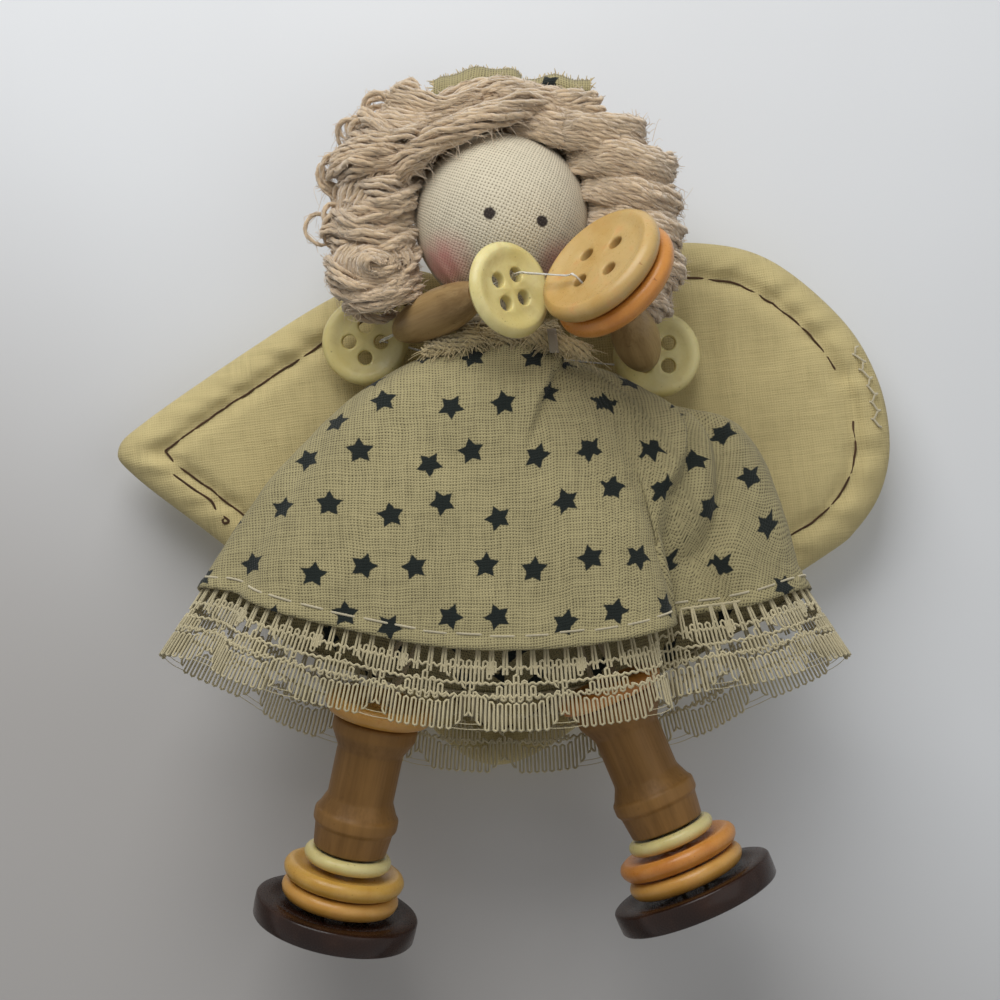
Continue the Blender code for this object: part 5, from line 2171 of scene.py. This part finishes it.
@dataclass
class Hair:
    """The wool yarn: a hank over the forehead, looped locks each side, and the back of the head."""

    centre: tuple = (-0.4, -22.7, 29.3)
    yarn: float = 0.46
    pitch: float = 3.6
    step: float = 0.62
    crimp: float = 0.14
    fibre: tuple = (0.056, 0.045, 0.022)
    crown_ring: float = 16.4
    crown_half: float = 3.8
    crown_depth: float = -22.6
    bunch_ring: float = 18.8
    bunch_half: float = 6.2
    bunch_depth: float = -25.0
    plump: tuple = (0.62, 0.84, 0.96, 1.0, 1.0, 1.0, 0.98, 0.88, 0.6)
    back_centre: tuple = (-0.4, -18.2, 36.7)
    back_half: tuple = (15.5, 7.0, 11.75)
    lie: tuple = (
        (0.0, 0.0), (0.1, 0.42), (0.36, 1.0), (0.7, 0.9), (0.94, 0.34), (1.0, -0.2), (0.94, -0.85),
        (0.74, -1.3), (0.42, -1.5),
    )
    nape: float = 12.95
    root_depth: float = -25.6
    right: tuple = (
        Lock((5.6, 41.2), (19.8, 40.6), 5.6), Lock((8.6, 37.8), (23.6, 35.6), 5.8),
        Lock((10.6, 33.8), (24.4, 30.8), 5.6), Lock((11.6, 29.6), (24.8, 26.0), 5.6),
        Lock((11.8, 25.2), (24.8, 21.4), 5.6), Lock((11.2, 21.2), (23.2, 16.8), 5.0, 18),
    )
    left: tuple = (
        Lock((-9.4, 41.0), (-21.2, 41.6), 6.0, bend=1.6),
        Lock((-11.4, 37.0), (-24.0, 36.2), 6.0, bend=-1.2),
        Lock((-12.2, 33.0), (-22.4, 31.6), 5.6, bend=1.0),
        Lock((-12.6, 29.0), (-24.6, 28.2), 6.0, bend=1.8),
        Lock((-12.4, 24.6), (-25.0, 22.2), 6.4, bend=3.2),
        Lock((-12.4, 21.6), (-22.6, 18.4), 4.8, bend=2.0),
    )
    top: tuple = (
        Lock((-1.4, 45.6), (13.2, 44.6), 5.4, 23, -27.6, -0.8),
        Lock((1.2, 43.0), (15.4, 41.2), 4.8, 19, -28.8, -1.2),
        Lock((-3.4, 45.4), (-17.0, 45.4), 6.0, 23, -27.2, 1.4),
        Lock((-6.0, 43.0), (-18.4, 42.6), 5.0, 18, -28.6, 1.6),
    )
    sweep_line: tuple = (
        (-15.6, -27.4, 34.6), (-12.9, -29.2, 37.3), (-9.4, -30.0, 39.7), (-5.2, -30.0, 41.7),
        (-0.8, -29.2, 43.3), (3.6, -27.4, 45.0), (7.6, -24.6, 46.2),
    )
    ringlets: tuple = (
        (-17.2, 44.6, 1.9), (-21.6, 41.6, 1.7), (-23.6, 36.0, 2.1), (-22.4, 31.4, 1.6),
        (-24.2, 28.2, 2.0), (-14.0, 46.6, 1.6),
    )

    def ring(self, degrees: Array, radius: Array, depth: Array) -> Array:
        """Places on a ring round the head, from its right side over its top.

        Args:
            degrees: Ring angles.
            radius: Distances from the ring's centre.
            depth: Places along Y.

        Returns:
            Points, in an array one side longer than degrees.
        """
        angle = np.radians(degrees)
        x, _, z = self.centre
        return np.stack(
            [x + radius * np.cos(angle), depth + 0.0 * angle, z + radius * np.sin(angle)], axis=-1
        )

    def build(self, bench: Bench) -> None:
        """Makes the four parts of the hair.

        Args:
            bench: Where the pieces are finished and seated.
        """
        for name, (yarn, fuzz) in (
            ("crown", self.crown()),
            ("right", self.bunch(self.right, Tidiness.COMBED, 36.0, -34.0, 61)),
            ("left", self.bunch(self.left, Tidiness.TOUSLED, 144.0, 214.0, 62)),
            ("back", self.back()),
        ):
            bench.seat(f"hair_{name}_yarn", yarn, WOOL, "doll", "yarn", [f"hair_{name}"], sharp=SMOOTH)
            bench.seat(f"hair_{name}_fuzz", fuzz, WOOL, "doll", "yarn", sharp=SMOOTH)

    def lay_lock(
        self, strands: Strands, fibres: Strands, lock: Lock, tidy: Tidiness,
        draw: Draw
    ) -> None:
        """Lays a lock's yarn in two layers: out from its root, round its tip and back behind.

        Args:
            strands: Takes the yarn.
            fibres: Takes the fine fibres that stand off it.
            lock: Where the lock lies.
            tidy: How far its yarn strays.
            draw: What its unevenness is drawn from.
        """
        root, tip = np.array(lock.root), np.array(lock.tip)
        out = tip - root
        side = unit(np.array([-out[1], out[0]]))
        lie = smooth_path(self.lie, 6)
        share, rise = lie[:, 0], lie[:, 1]
        strays = [Ripple(int(draw.integers(1, 9999)), 7.0) for _ in range(3)]
        for index in range(lock.strands):
            across = -1.0 + 2.0 * (index + 0.5 + draw.uniform(-0.3, 0.3)) / lock.strands
            inner = 0.9 if index % 2 else 0.0
            reach = share * (1.0 - 0.12 * across**2 - 0.05 * inner) * draw.uniform(0.95, 1.04)
            fall = 1.0 - 0.34 * (1.0 - math.sqrt(max(0.0, 1.0 - across**2)))
            offset = (
                across * lock.width / 2.0 * (0.7 + 0.3 * share)
                + lock.bend * np.sin(math.pi * np.clip(share, 0.0, 1.0))
            )
            flat = root + out * reach[:, None] + side * offset[:, None]
            deep = (
                self.root_depth + (lock.crest - self.root_depth) * rise * fall
                + inner * np.sign(rise + 0.1)
            )
            path = np.column_stack([flat[:, 0], deep, flat[:, 1]])
            stray = np.stack([ripple.at(path + index * 0.5 * tidy.value) for ripple in strays], axis=1)
            path = path + stray * 0.7 * tidy.value
            if tidy is Tidiness.TOUSLED and index % 3 == 0:
                path = path[: int(len(path) * draw.uniform(0.55, 0.8))]
            self.lay_yarn(strands, fibres, path, draw)

    def lay_yarn(self, strands: Strands, fibres: Strands, path: Array, draw: Draw) -> None:
        """One loosely spun, crimped yarn with its halo of fibres.

        Args:
            strands: Takes the yarn.
            fibres: Takes the fine fibres that stand off it.
            path: Where it lies, in millimetres.
            draw: What its unevenness is drawn from.
        """
        path = even_path(path, self.step)
        run = run_of(path)
        for _ in range(2):
            wave = np.sin(TAU * run / draw.uniform(3.4, 7.0) + draw.uniform(0.0, TAU))
            path = path + wave[:, None] * unit(draw.normal(size=3)) * self.crimp
        size = self.yarn * draw.uniform(0.8, 1.15)
        ends = tapered(len(path), 0.5, 0.2)
        spin = self.pitch * draw.uniform(0.85, 1.3)
        for ply in plies_of(path, 2, size * 0.22, spin, draw.uniform(0.0, TAU)):
            strands.lay(ply, size * 0.78 * ends)
        halo = even_path(path, self.step * 2.6)
        for fibre in plies_of(halo, 2, size * 1.1, draw.uniform(5.0, 9.0), draw.uniform(0.0, TAU)):
            fibres.lay(fibre + draw.normal(0.0, 0.17, fibre.shape), self.fibre[1])
        along = np.gradient(path, axis=0)
        share = np.linspace(0.0, 1.0, 3)[:, None]
        for at in draw.integers(1, len(path) - 1, max(8, int(len(path) * 0.72))):
            way = unit(draw.normal(size=3) + unit(along[at]) * draw.choice((-1.0, 1.0)) * 0.9)
            bend = draw.normal(size=3) * 0.3
            long = draw.uniform(0.35, 1.0)
            fibres.lay(path[at] + way * (size * 0.6 + long * share) + bend * share**2, self.fibre)

    def bunch(self, locks: tuple, tidy: Tidiness, start: float, end: float, seed: int) -> tuple[Mesh, Mesh]:
        """One side's hair.

        Args:
            locks: Its locks, from the top down.
            tidy: How tidy they are.
            start: Ring angle of the upper end of the roll under them.
            end: Ring angle of its lower end.
            seed: What its unevenness is drawn from.

        Returns:
            The yarn with its core, and the fibres.
        """
        draw = np.random.default_rng(seed)
        angles = np.linspace(start, end, 40)
        share = np.linspace(0.0, 1.0, 40)
        fullness = np.interp(share, np.linspace(0.0, 1.0, len(self.plump)), self.plump)
        radius, depth = self.bunch_ring - 0.4, self.bunch_depth + 0.6
        core = Strands(Sides.EIGHT)
        core.lay(self.ring(angles, radius, depth), self.bunch_half * 0.72 * fullness)
        strands, fibres = Strands(), Strands()
        for lock in locks:
            self.lay_lock(strands, fibres, lock, tidy, draw)
        swell = self.bunch_half * 0.74 * fullness
        for index in range(30):
            turn = TAU * index / 30 + 0.02 * angles
            path = self.ring(angles, radius + swell * np.sin(turn), depth - swell * np.cos(turn))
            self.lay_yarn(strands, fibres, path, draw)
        if tidy is Tidiness.TOUSLED:
            self.curls(strands, fibres, draw)
        self.strays(fibres, draw, start, end)
        return joined([strands.sweep(), core.sweep()]), fibres.sweep()

    def curls(self, strands: Strands, fibres: Strands, draw: Draw) -> None:
        """Loops of yarn that stand out of the left side, and the rolled curl under them.

        Args:
            strands: Takes the yarn.
            fibres: Takes the fine fibres that stand off it.
            draw: What its unevenness is drawn from.
        """
        for x, z, reach in self.ringlets:
            for _ in range(5):
                turn = np.linspace(-0.7, 5.6, 40) + draw.uniform(-1.2, 1.2)
                size = reach * draw.uniform(0.75, 1.15)
                at = np.array([x, -25.0, z]) + draw.normal(0.0, 0.7, 3)
                lean = draw.uniform(-0.6, 0.6)
                depth = lean * np.sin(turn) + 0.12 * turn
                path = at + size * np.column_stack([np.cos(turn), depth, np.sin(turn)])
                self.lay_yarn(strands, fibres, path, draw)
        for ring in range(14):
            turn = np.linspace(0.2, draw.uniform(3.9, 5.2), 40) + draw.uniform(-0.3, 0.4)
            reach = 1.0 + 0.34 * ring + 0.3 * np.sin(turn)
            across, up = -18.0 + reach * np.cos(turn), 22.0 + reach * 0.8 * np.sin(turn)
            depth = -31.6 + 0.26 * ring + 0.4 * np.sin(2.0 * turn)
            path = np.column_stack([across, depth, up])
            self.lay_yarn(strands, fibres, path, draw)

    def strays(self, fibres: Strands, draw: Draw, start: float, end: float) -> None:
        """Single fibres that curl out of a side.

        Args:
            fibres: Takes the fibres.
            draw: What its unevenness is drawn from.
            start: Ring angle of one end of the side.
            end: Ring angle of the other.
        """
        for _ in range(34):
            at = math.radians(draw.uniform(min(start, end), max(start, end)))
            out = np.array([math.cos(at), draw.uniform(-0.7, 0.2), math.sin(at)])
            root = np.array(self.centre) + out * np.array([23.6, 6.0, 23.6])
            side = unit(np.cross(out, draw.normal(size=3)))
            step = np.linspace(0.0, 1.0, 10)
            long, curl = draw.uniform(1.8, 4.4), draw.uniform(1.5, 4.5)
            path = (
                root + out * (long * 0.6 * np.sin(step * 1.6))[:, None]
                + side * (long * 0.6 * np.sin(curl * step))[:, None]
            )
            fibres.lay(path, np.linspace(0.045, 0.02, 10))

    def crown(self) -> tuple[Mesh, Mesh]:
        """The hair over the forehead: yarn round it, looped locks on top and a hank across.

        Returns:
            The yarn with its core, and the fibres.
        """
        draw = np.random.default_rng(63)
        core = Strands(Sides.EIGHT)
        angles = np.linspace(40.0, 140.0, 40)
        core.lay(self.ring(angles, self.crown_ring, self.crown_depth), self.crown_half * 0.74)
        strands, fibres = Strands(), Strands()
        for index in range(42):
            turn = TAU * index / 42 + draw.uniform(-0.1, 0.1)
            share = np.linspace(0.0, 1.0, 60)
            at = np.linspace(draw.uniform(138.0, 150.0), draw.uniform(30.0, 42.0), 60)
            spin = turn + 1.4 * share + 0.25 * np.sin(share * 9.0 + index)
            reach = self.crown_half * (0.84 + 0.1 * np.sin(share * 14.0 + turn * 2.0))
            path = self.ring(
                at, self.crown_ring + reach * np.sin(spin), self.crown_depth - reach * np.cos(spin)
            )
            self.lay_yarn(strands, fibres, path, draw)
        for lock in self.top:
            self.lay_lock(strands, fibres, lock, Tidiness.LOOSE, draw)
        hank = even_path(smooth_path(self.sweep_line, 10), 0.6)
        for line in plies_of(hank, 14, 1.6, 34.0, 0.4) + plies_of(hank, 6, 0.8, 30.0, 1.0):
            turns = np.linspace(0.0, draw.uniform(6.0, 14.0), len(line))
            wander = np.sin(turns + draw.uniform(0.0, TAU))[:, None]
            self.lay_yarn(strands, fibres, line + 0.3 * wander * draw.normal(size=3), draw)
        for _ in range(110):
            root = hank[draw.integers(2, len(hank) - 12)] + draw.normal(size=3) * 0.7
            step = np.linspace(0.0, 1.0, 9)[:, None]
            fall = np.array([draw.uniform(-0.5, 4.0), -0.9, draw.uniform(-3.6, -0.4)])
            curl = np.array([0.8, 0.0, 0.6]) * draw.uniform(-1.0, 1.0)
            path = root + fall * step + curl * np.sin(step * draw.uniform(2.0, 5.0))
            fibres.lay(path, np.linspace(0.05, 0.025, 9))
        return joined([strands.sweep(), core.sweep()]), fibres.sweep()

    def back(self) -> tuple[Mesh, Mesh]:
        """The yarn that falls down the back of the head from the parting.

        Returns:
            The yarn with its core, and the fibres.
        """
        draw = np.random.default_rng(64)
        centre, half = np.array(self.back_centre), np.array(self.back_half)
        head = np.array(self.centre)
        strands, fibres = Strands(), Strands()
        count = 74
        for index in range(count):
            side = (index + draw.uniform(-0.3, 0.3)) / (count - 1) * 2.0 - 1.0
            fall = np.linspace(math.radians(12.0), math.radians(draw.uniform(158.0, 174.0)), 50)
            swing = math.radians(88.0) * side + 0.06 * np.sin(fall * 7.0 + draw.uniform(0.0, TAU))
            wide = np.sin(fall)
            swell = 0.95 + 0.03 * np.sin(fall * 5.0 + index)
            across, depth = half[0] * np.sin(swing) * wide, half[1] * np.cos(swing) * wide
            ball = np.column_stack([across, depth, half[2] * np.cos(fall)])
            away = centre + swell[:, None] * ball - head
            reach = np.maximum(np.linalg.norm(away, axis=1), self.nape)
            self.lay_yarn(strands, fibres, head + unit(away) * reach[:, None], draw)
        core = bmesh.new()
        bmesh.ops.create_uvsphere(core, u_segments=40, v_segments=24, radius=0.92)
        bmesh.ops.scale(core, vec=half, verts=core.verts[:])
        bmesh.ops.translate(core, vec=centre, verts=core.verts[:])
        geometry = core.verts[:] + core.edges[:] + core.faces[:]
        bmesh.ops.bisect_plane(core, geom=geometry, plane_co=centre, plane_no=(0, -1, 0), clear_outer=True)
        bmesh.ops.scale(core, vec=(MM, MM, MM), verts=core.verts[:])
        return joined([strands.sweep(), mesh_of(core, "hair_back_core")]), fibres.sweep()


@dataclass
class Bow:
    """The torn strip of dress cloth tied behind the crown, its ends standing up."""

    left: tuple = (
        (-10.3, -16.6, 47.4), (-7.6, -16.9, 48.6), (-3.6, -16.6, 49.5), (0.9, -15.8, 49.4),
        (2.4, -15.4, 48.4)
    )
    right: tuple = (
        (2.0, -15.4, 48.6), (4.2, -15.8, 49.0), (7.6, -16.4, 49.1), (10.4, -16.4, 48.7),
        (12.3, -16.0, 48.4)
    )
    lean: tuple = (0.05, 1.9, 3.1)
    tuck: float = 0.9
    cloth: float = 0.3
    fibre: tuple = (0.1, 0.09, 0.07, 0.04)
    bulge: tuple = (0.0, -0.7, 0.0)

    def build(self, bench: Bench) -> None:
        """Makes both ends as one torn strip with frayed edges.

        Args:
            bench: Where the pieces are finished and seated.
        """
        draw = np.random.default_rng(71)
        body = bmesh.new()
        fray = Strands()
        for spine, height in ((self.left, 1.0), (self.right, 0.72)):
            line = smooth_path(spine, 10)
            share = np.linspace(-self.tuck, 1.0, 13)
            lean = np.array(self.lean) * height
            belly = np.sin(np.clip(share, 0.0, 1.0) * math.pi)[:, None, None]
            ragged = np.cumsum(draw.normal(0.0, 0.1, len(line)))
            ragged -= np.linspace(ragged[0], ragged[-1], len(line))
            tall = share[:, None, None] * lean * (1.0 + 0.1 * ragged)[None, :, None]
            table = line[None] + tall + belly * np.array(self.bulge)
            table[..., 2] += 0.25 * np.sin(line[:, 0] * 1.1)[None]
            along = run_of(line) + (0.0 if height == 1.0 else 30.0)
            flat = np.dstack(np.meshgrid(along, share * 3.7 * height + 4.0))
            take_in(body, shaped_grid(table, flat, False))
            step = np.linspace(0.0, 1.0, len(self.fibre))[:, None]
            for root in even_path(table[-1], 0.32):
                tip = draw.normal(size=3) * 0.25 + np.array([0.0, 0.2, draw.uniform(0.1, 0.45)])
                fray.lay(root + tip * step, np.array(self.fibre))
            outer, way = (table[:, 0], -1.0) if height == 1.0 else (table[:, -1], 1.0)
            for root in even_path(outer, 0.3):
                tip = draw.normal(size=3) * 0.25
                tip = tip + np.array([way * draw.uniform(0.3, 0.9), 0.0, 0.1])
                fray.lay(root + tip * step, np.array(self.fibre))
        strip = bench.seat("bow_strip", body, STAR_CLOTH, "doll", "star_cloth", ["hair_bow"], sharp=SMOOTH)
        give_thickness(strip, self.cloth)
        edge = bench.seat("bow_fray", fray.sweep(), COLLAR_WOOL, "doll", "star_cloth", sharp=SMOOTH)


@dataclass
class Bead:
    """An oval wooden bead with a bore along it."""

    length: float = 18.6
    diameter: float = 6.6
    bore: float = 1.8
    blunt: float = 1.12
    rows: int = 28

    def shape(self) -> Draft:
        """The bead about its own middle.

        Returns:
            The bead, in millimetres.
        """
        half = self.length / 2.0
        bore = self.bore / 2.0
        profile = []
        for row in range(self.rows + 1):
            height = half * math.cos(math.pi * row / self.rows)
            wide = math.sqrt(1.0 - (height / (half * self.blunt)) ** 2)
            profile.append((self.diameter / 2.0 * wide, height))
        profile += [
            (bore + 0.12, -half + 0.02), (bore, -half + 0.3), (bore, half - 0.3),
            (bore + 0.12, half - 0.02)
        ]
        return turned(profile, 48, closed=True)


@dataclass
class Arms:
    """The strung arms: shoulder buttons, beads, hand buttons and the line through them."""

    left_shoulder: tuple = (-17.8, -16.9, 12.9)
    right_shoulder: tuple = (20.2, -17.6, 9.4)
    left_end: tuple = (-3.8, -35.4, 17.9)
    right_end: tuple = (16.3, -36.6, 15.2)
    yellow_hole: tuple = (0.48, -36.58, 19.94)
    yellow_out: tuple = (0.60, -0.78, 0.17)
    yellow_across: tuple = (0.55, 0.0, 0.90)
    large_hole: tuple = (11.2, -41.4, 17.6)
    large_out: tuple = (-0.62, -0.53, 0.58)
    large_across: tuple = (0.68, 0.0, 0.73)
    gap: float = 0.3
    line: float = 0.5
    strand: float = 0.115
    neck_depth: float = -16.2
    neck_level: float = 10.3
    neck_reach: float = 0.36
    turn: float = 1.1
    bead: Bead = field(default_factory=Bead)

    def bead_start(self, shoulder: tuple, end: tuple) -> tuple[Vector, Vector]:
        """A bead's shoulder end, and the way it points to its hand."""
        way = (Vector(end) - Vector(shoulder)).normalized()
        return Vector(end) - way * self.bead.length, way

    def route(self) -> Array:
        """The front line's route from shoulder to shoulder, through the beads and hands.

        Returns:
            Its points.
        """
        left, right = Vector(self.left_shoulder), Vector(self.right_shoulder)
        left_end, right_end = Vector(self.left_end), Vector(self.right_end)
        left_start, _ = self.bead_start(self.left_shoulder, self.left_end)
        right_start, _ = self.bead_start(self.right_shoulder, self.right_end)
        yellow, large = Vector(self.yellow_hole), Vector(self.large_hole)
        yellow_out = Vector(self.yellow_out).normalized()
        large_out = Vector(self.large_out).normalized()
        pitch = LARGE_HAND.thickness + self.gap
        leave = yellow + yellow_out * (YELLOW_HAND.thickness + self.gap)
        enter = large + large_out * (LARGE_HAND.thickness + self.gap)
        return smooth_path(
            [
                left + (left_start - left).normalized() * self.gap / 2.0, left_start,
                (left_start + left_end) / 2.0, left_end,
                yellow - yellow_out * self.gap, leave,
                *(leave.lerp(enter, share) for share in (0.15, 0.5, 0.85)), enter,
                large - large_out * (pitch + self.gap), right_end,
                (right_end + right_start) / 2.0, right_start,
                right + (right_start - right).normalized() * self.gap / 2.0,
            ],
            8,
        )

    def neck_route(self) -> Array:
        """The line that ties the shoulder buttons behind the neck.

        Returns:
            Its points.
        """
        halves = []
        for place in (Vector(self.left_shoulder), Vector(self.right_shoulder)):
            back = place + Vector((0.0, SHOULDER_BUTTON.thickness + 2.0 * self.gap, 0.0))
            turn = back + Vector((-math.copysign(self.turn, place.x), self.turn, 0.0))
            near = Vector((place.x * self.neck_reach, self.neck_depth, self.neck_level))
            halves.append([place + Vector((0.0, self.gap / 2.0, 0.0)), back, turn, near])
        middle = Vector((0.0, self.neck_depth, self.neck_level))
        return smooth_path(halves[0] + [middle] + halves[1][::-1], 8)

    def lay_lines(self, bench: Bench) -> None:
        """Makes both stretches of the doubled line.

        Args:
            bench: Where the pieces are finished and seated.
        """
        for name, node, body, path in (
            ("arm_line_front_pair", "arm_line_front", "arm_string", self.route()),
            ("arm_line_neck_pair", "arm_line_neck", "doll", self.neck_route()),
        ):
            path = even_path(path, 0.6)
            strands = Strands(Sides.EIGHT)
            for line in plies_of(path, 2, self.line / 2.0 - self.strand, 60.0, 0.9):
                strands.lay(line, self.strand)
            piece = bench.seat(name, strands.sweep(), NYLON_PAINTED_GLINT, body, "clear_line", [node], sharp=SMOOTH)

    def build(self, bench: Bench) -> None:
        """Makes the beads and the buttons.

        Args:
            bench: Where the pieces are finished and seated.
        """
        for name, shoulder, end in (
            ("left", self.left_shoulder, self.left_end),
            ("right", self.right_shoulder, self.right_end),
        ):
            start, way = self.bead_start(shoulder, end)
            place = frame_along(start + way * self.bead.length / 2.0, way)
            node = f"arm_bead_{name}"
            bench.seat(
                f"{node}_wood", self.bead.shape(), BEAD_WOOD, f"bead_{name}", "bead_wood", [node],
                place, 50.0
            )
        out, forward = Vector(self.large_out).normalized(), (0.0, -1.0, 0.0)
        front = Vector(self.large_hole)
        behind = front - out * (LARGE_HAND.thickness + self.gap)
        rest = Vector((0.0, SHOULDER_BUTTON.thickness + 2.0 * self.gap, 0.0))
        left, right = Vector(self.left_shoulder) + rest, Vector(self.right_shoulder) + rest
        yellow = (self.yellow_hole, self.yellow_out, self.yellow_across)
        for name, finish, size, way, seat in (
            ("hand_yellow", YELLOW, YELLOW_HAND, 1.0, yellow),
            ("hand_peach", PEACH, LARGE_HAND, -1.0, (front, out, self.large_across)),
            ("hand_orange", ORANGE, LARGE_HAND, -1.0, (behind, out, self.large_across)),
            ("shoulder_left", YELLOW, SHOULDER_BUTTON, 1.0, (left, forward, (1.0, 0.0, 0.0))),
            ("shoulder_right", YELLOW, SHOULDER_BUTTON, -1.0, (right, forward, (1.0, 0.0, 1.0))),
        ):
            kind, which = name.split("_")
            shape = size.shape((way * size.hole_circle, 0.0))
            node = f"{kind}_button_{which}"
            bench.seat(f"{name}_cast", shape, finish, name, finish.slot, [node], frame_along(*seat))


@dataclass
class Spool:
    """A turned thread spool; its lower end is at height 0."""

    profile: tuple = (
        (2.1, 19.2), (5.6, 19.2), (6.0, 18.8), (6.0, 17.2), (4.7, 14.8), (4.7, 7.8), (5.6, 5.8),
        (6.0, 5.4), (6.0, 3.8), (5.6, 3.4), (5.2, 0.0), (2.1, 0.0),
    )
    length: float = 19.2
    round_off: float = 0.32

    def shape(self) -> Draft:
        """The spool, its edges worn round.

        Returns:
            The spool, in millimetres.
        """
        body = turned(self.profile, 72, closed=True)
        soften(body, self.round_off, 16.0)
        return body


@dataclass
class Leg:
    """One strung leg: a top button, a spool and the buttons of its foot, on a doubled cord."""

    side: str
    hip: tuple
    knee: tuple
    down: tuple
    stack: tuple
    gap: float = 0.3
    knot: float = 2.6
    cord: float = 0.8
    strand: float = 1.55
    turn_depth: float = 0.9
    knee_room: float = 1.2
    spool: Spool = field(default_factory=Spool)

    def frame(self) -> Matrix:
        """The frame at the knee, whose Z runs up the stack."""
        return frame_along(self.knee, tuple(-value for value in self.down))

    def lowest(self) -> float:
        """The height of the foot's lower face in that frame."""
        thick = [self.spool.length if part == "spool" else size.thickness for part, size, _ in self.stack]
        return -sum(thick) - self.gap * len(thick)

    def route(self) -> Array:
        """The cord's route: down one side of the stack, round under the foot and up the other.

        Returns:
            Its points in the doll.
        """
        frame_here = self.frame()
        hip, knee = Vector(self.hip), Vector(self.knee)
        below = hip + (knee - hip).normalized() * (self.knot / 2.0 + self.gap)
        start = frame_here.inverted() @ below
        strand = Vector((self.strand, 0.0, 0.0))
        tight = Vector((self.cord / 2.0 + self.gap / 2.0, 0.0, 0.0))
        room = Vector((0.0, 0.0, self.knee_room))
        midway, apart = (start + room) / 2.0, (strand + tight) / 2.0
        depth = self.lowest() - self.gap - self.cord / 2.0
        loop = []
        for bend in range(13):
            angle = math.pi * bend / 12
            loop.append((self.strand * math.cos(angle), 0.0, depth - self.turn_depth * math.sin(angle)))
        down = smooth_path([start + tight, midway + apart, strand + room, strand], 6)
        up = smooth_path([-strand, -strand + room, midway - apart, start - tight], 6)
        path = np.vstack([down, np.array(loop), up])
        return np.array([tuple(frame_here @ Vector(p)) for p in path])

    def lay_cord(self, bench: Bench) -> None:
        """Makes the doubled cord and its knot.

        Args:
            bench: Where the pieces are finished and seated.
        """
        path = even_path(self.route(), 0.4)
        strands = Strands(Sides.SIX)
        strands.twist(path, self.cord / 2.0, 2.2, 0.3, 3)
        node = f"{self.side}_leg_cord"
        cord = bench.seat(
            f"{node}_twist", strands.sweep(), COTTON_CORD, f"{self.side}_leg", "cord", [node],
            sharp=SMOOTH
        )
        turn = np.linspace(0.0, TAU, 90)
        size = self.knot / 2.0 / 3.9
        across = np.sin(turn) + 2.0 * np.sin(2.0 * turn)
        depth = np.cos(turn) - 2.0 * np.cos(2.0 * turn)
        knot_line = np.column_stack([across, depth, -1.2 * np.sin(3.0 * turn)])
        knot = Strands(Sides.EIGHT)
        knot.lay(knot_line * size + np.array(self.hip), self.cord / 2.0 * 0.9)
        node = f"{self.side}_hip_knot"
        bench.seat(
            f"{node}_tied", knot.sweep(), COTTON_CORD, f"{self.side}_hip", "cord", [node],
            sharp=SMOOTH
        )

    def build(self, bench: Bench) -> None:
        """Makes the spool and the buttons, from the top down.

        Args:
            bench: Where the pieces are finished and seated.
        """
        height = 0.0
        frame_here = self.frame()
        for part, size, finish in self.stack:
            height -= (self.spool.length if part == "spool" else size.thickness) + self.gap
            place = frame_here @ Matrix.Translation((0.0, 0.0, height))
            if part == "spool":
                node = f"{self.side}_spool"
                bench.seat(f"{node}_wood", self.spool.shape(), finish, node, "wood", [node], place, 50.0)
            else:
                node = f"{self.side}_{part}_button"
                bench.seat(
                    f"{self.side}_{part}_cast", size.shape(), finish, f"{self.side}_{part}",
                    finish.slot, [node], place
                )


LEFT_LEG = Leg(
    "left", (-5.0, -22.0, -14.6), (-17.3, -24.0, -37.6), (-6.4, 4.5, -29.4),
    (
        ("upper", UPPER_LEG, HONEY), ("spool", None, SPOOL_WOOD), ("ankle", ANKLE, YELLOW),
        ("middle", MIDDLE, AMBER), ("lower", LOWER, HONEY), ("foot", FOOT, BROWN),
    ),
)
RIGHT_LEG = Leg(
    "right", (5.0, -22.0, -14.6), (14.0, -24.0, -35.0), (13.0, 0.4, -30.6),
    (
        ("upper", UPPER_LEG, ORANGE), ("spool", None, SPOOL_WOOD), ("ankle", ANKLE, YELLOW),
        ("middle", MIDDLE, ORANGE), ("lower", LOWER, HONEY), ("foot", FOOT, BROWN),
    ),
)


def finish_ball(bench: Bench) -> None:
    """Gives the ball inside the head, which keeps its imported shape, its wood.

    Args:
        bench: Where finishes are made.
    """
    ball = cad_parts["head_ball"]
    ball.data.materials.clear()
    ball.data.materials.append(
        bench.material(Lumpy("ball_wood", ink(186, 150, 104), ink(150, 112, 70), 0.6, 0.05, 0.6))
    )


def main() -> None:
    """Builds the studio, the cords and then each sub-assembly."""
    logging.basicConfig(level=logging.INFO, format="%(name)s: %(message)s")
    bench = Bench()
    Studio().build()
    arms = Arms()
    legs = (LEFT_LEG, RIGHT_LEG)
    arms.lay_lines(bench)
    for leg in legs:
        leg.lay_cord(bench)
    Magnet().build(bench)
    Wings().build(bench)
    Head().build(bench)
    finish_ball(bench)
    Hair().build(bench)
    Bow().build(bench)
    Body().build(bench)
    dress = Dress()
    dress.build(bench)
    Lace(dress).build(bench)
    Collar().build(bench)
    arms.build(bench)
    for leg in legs:
        leg.build(bench)


if __name__ == "__main__":
    main()
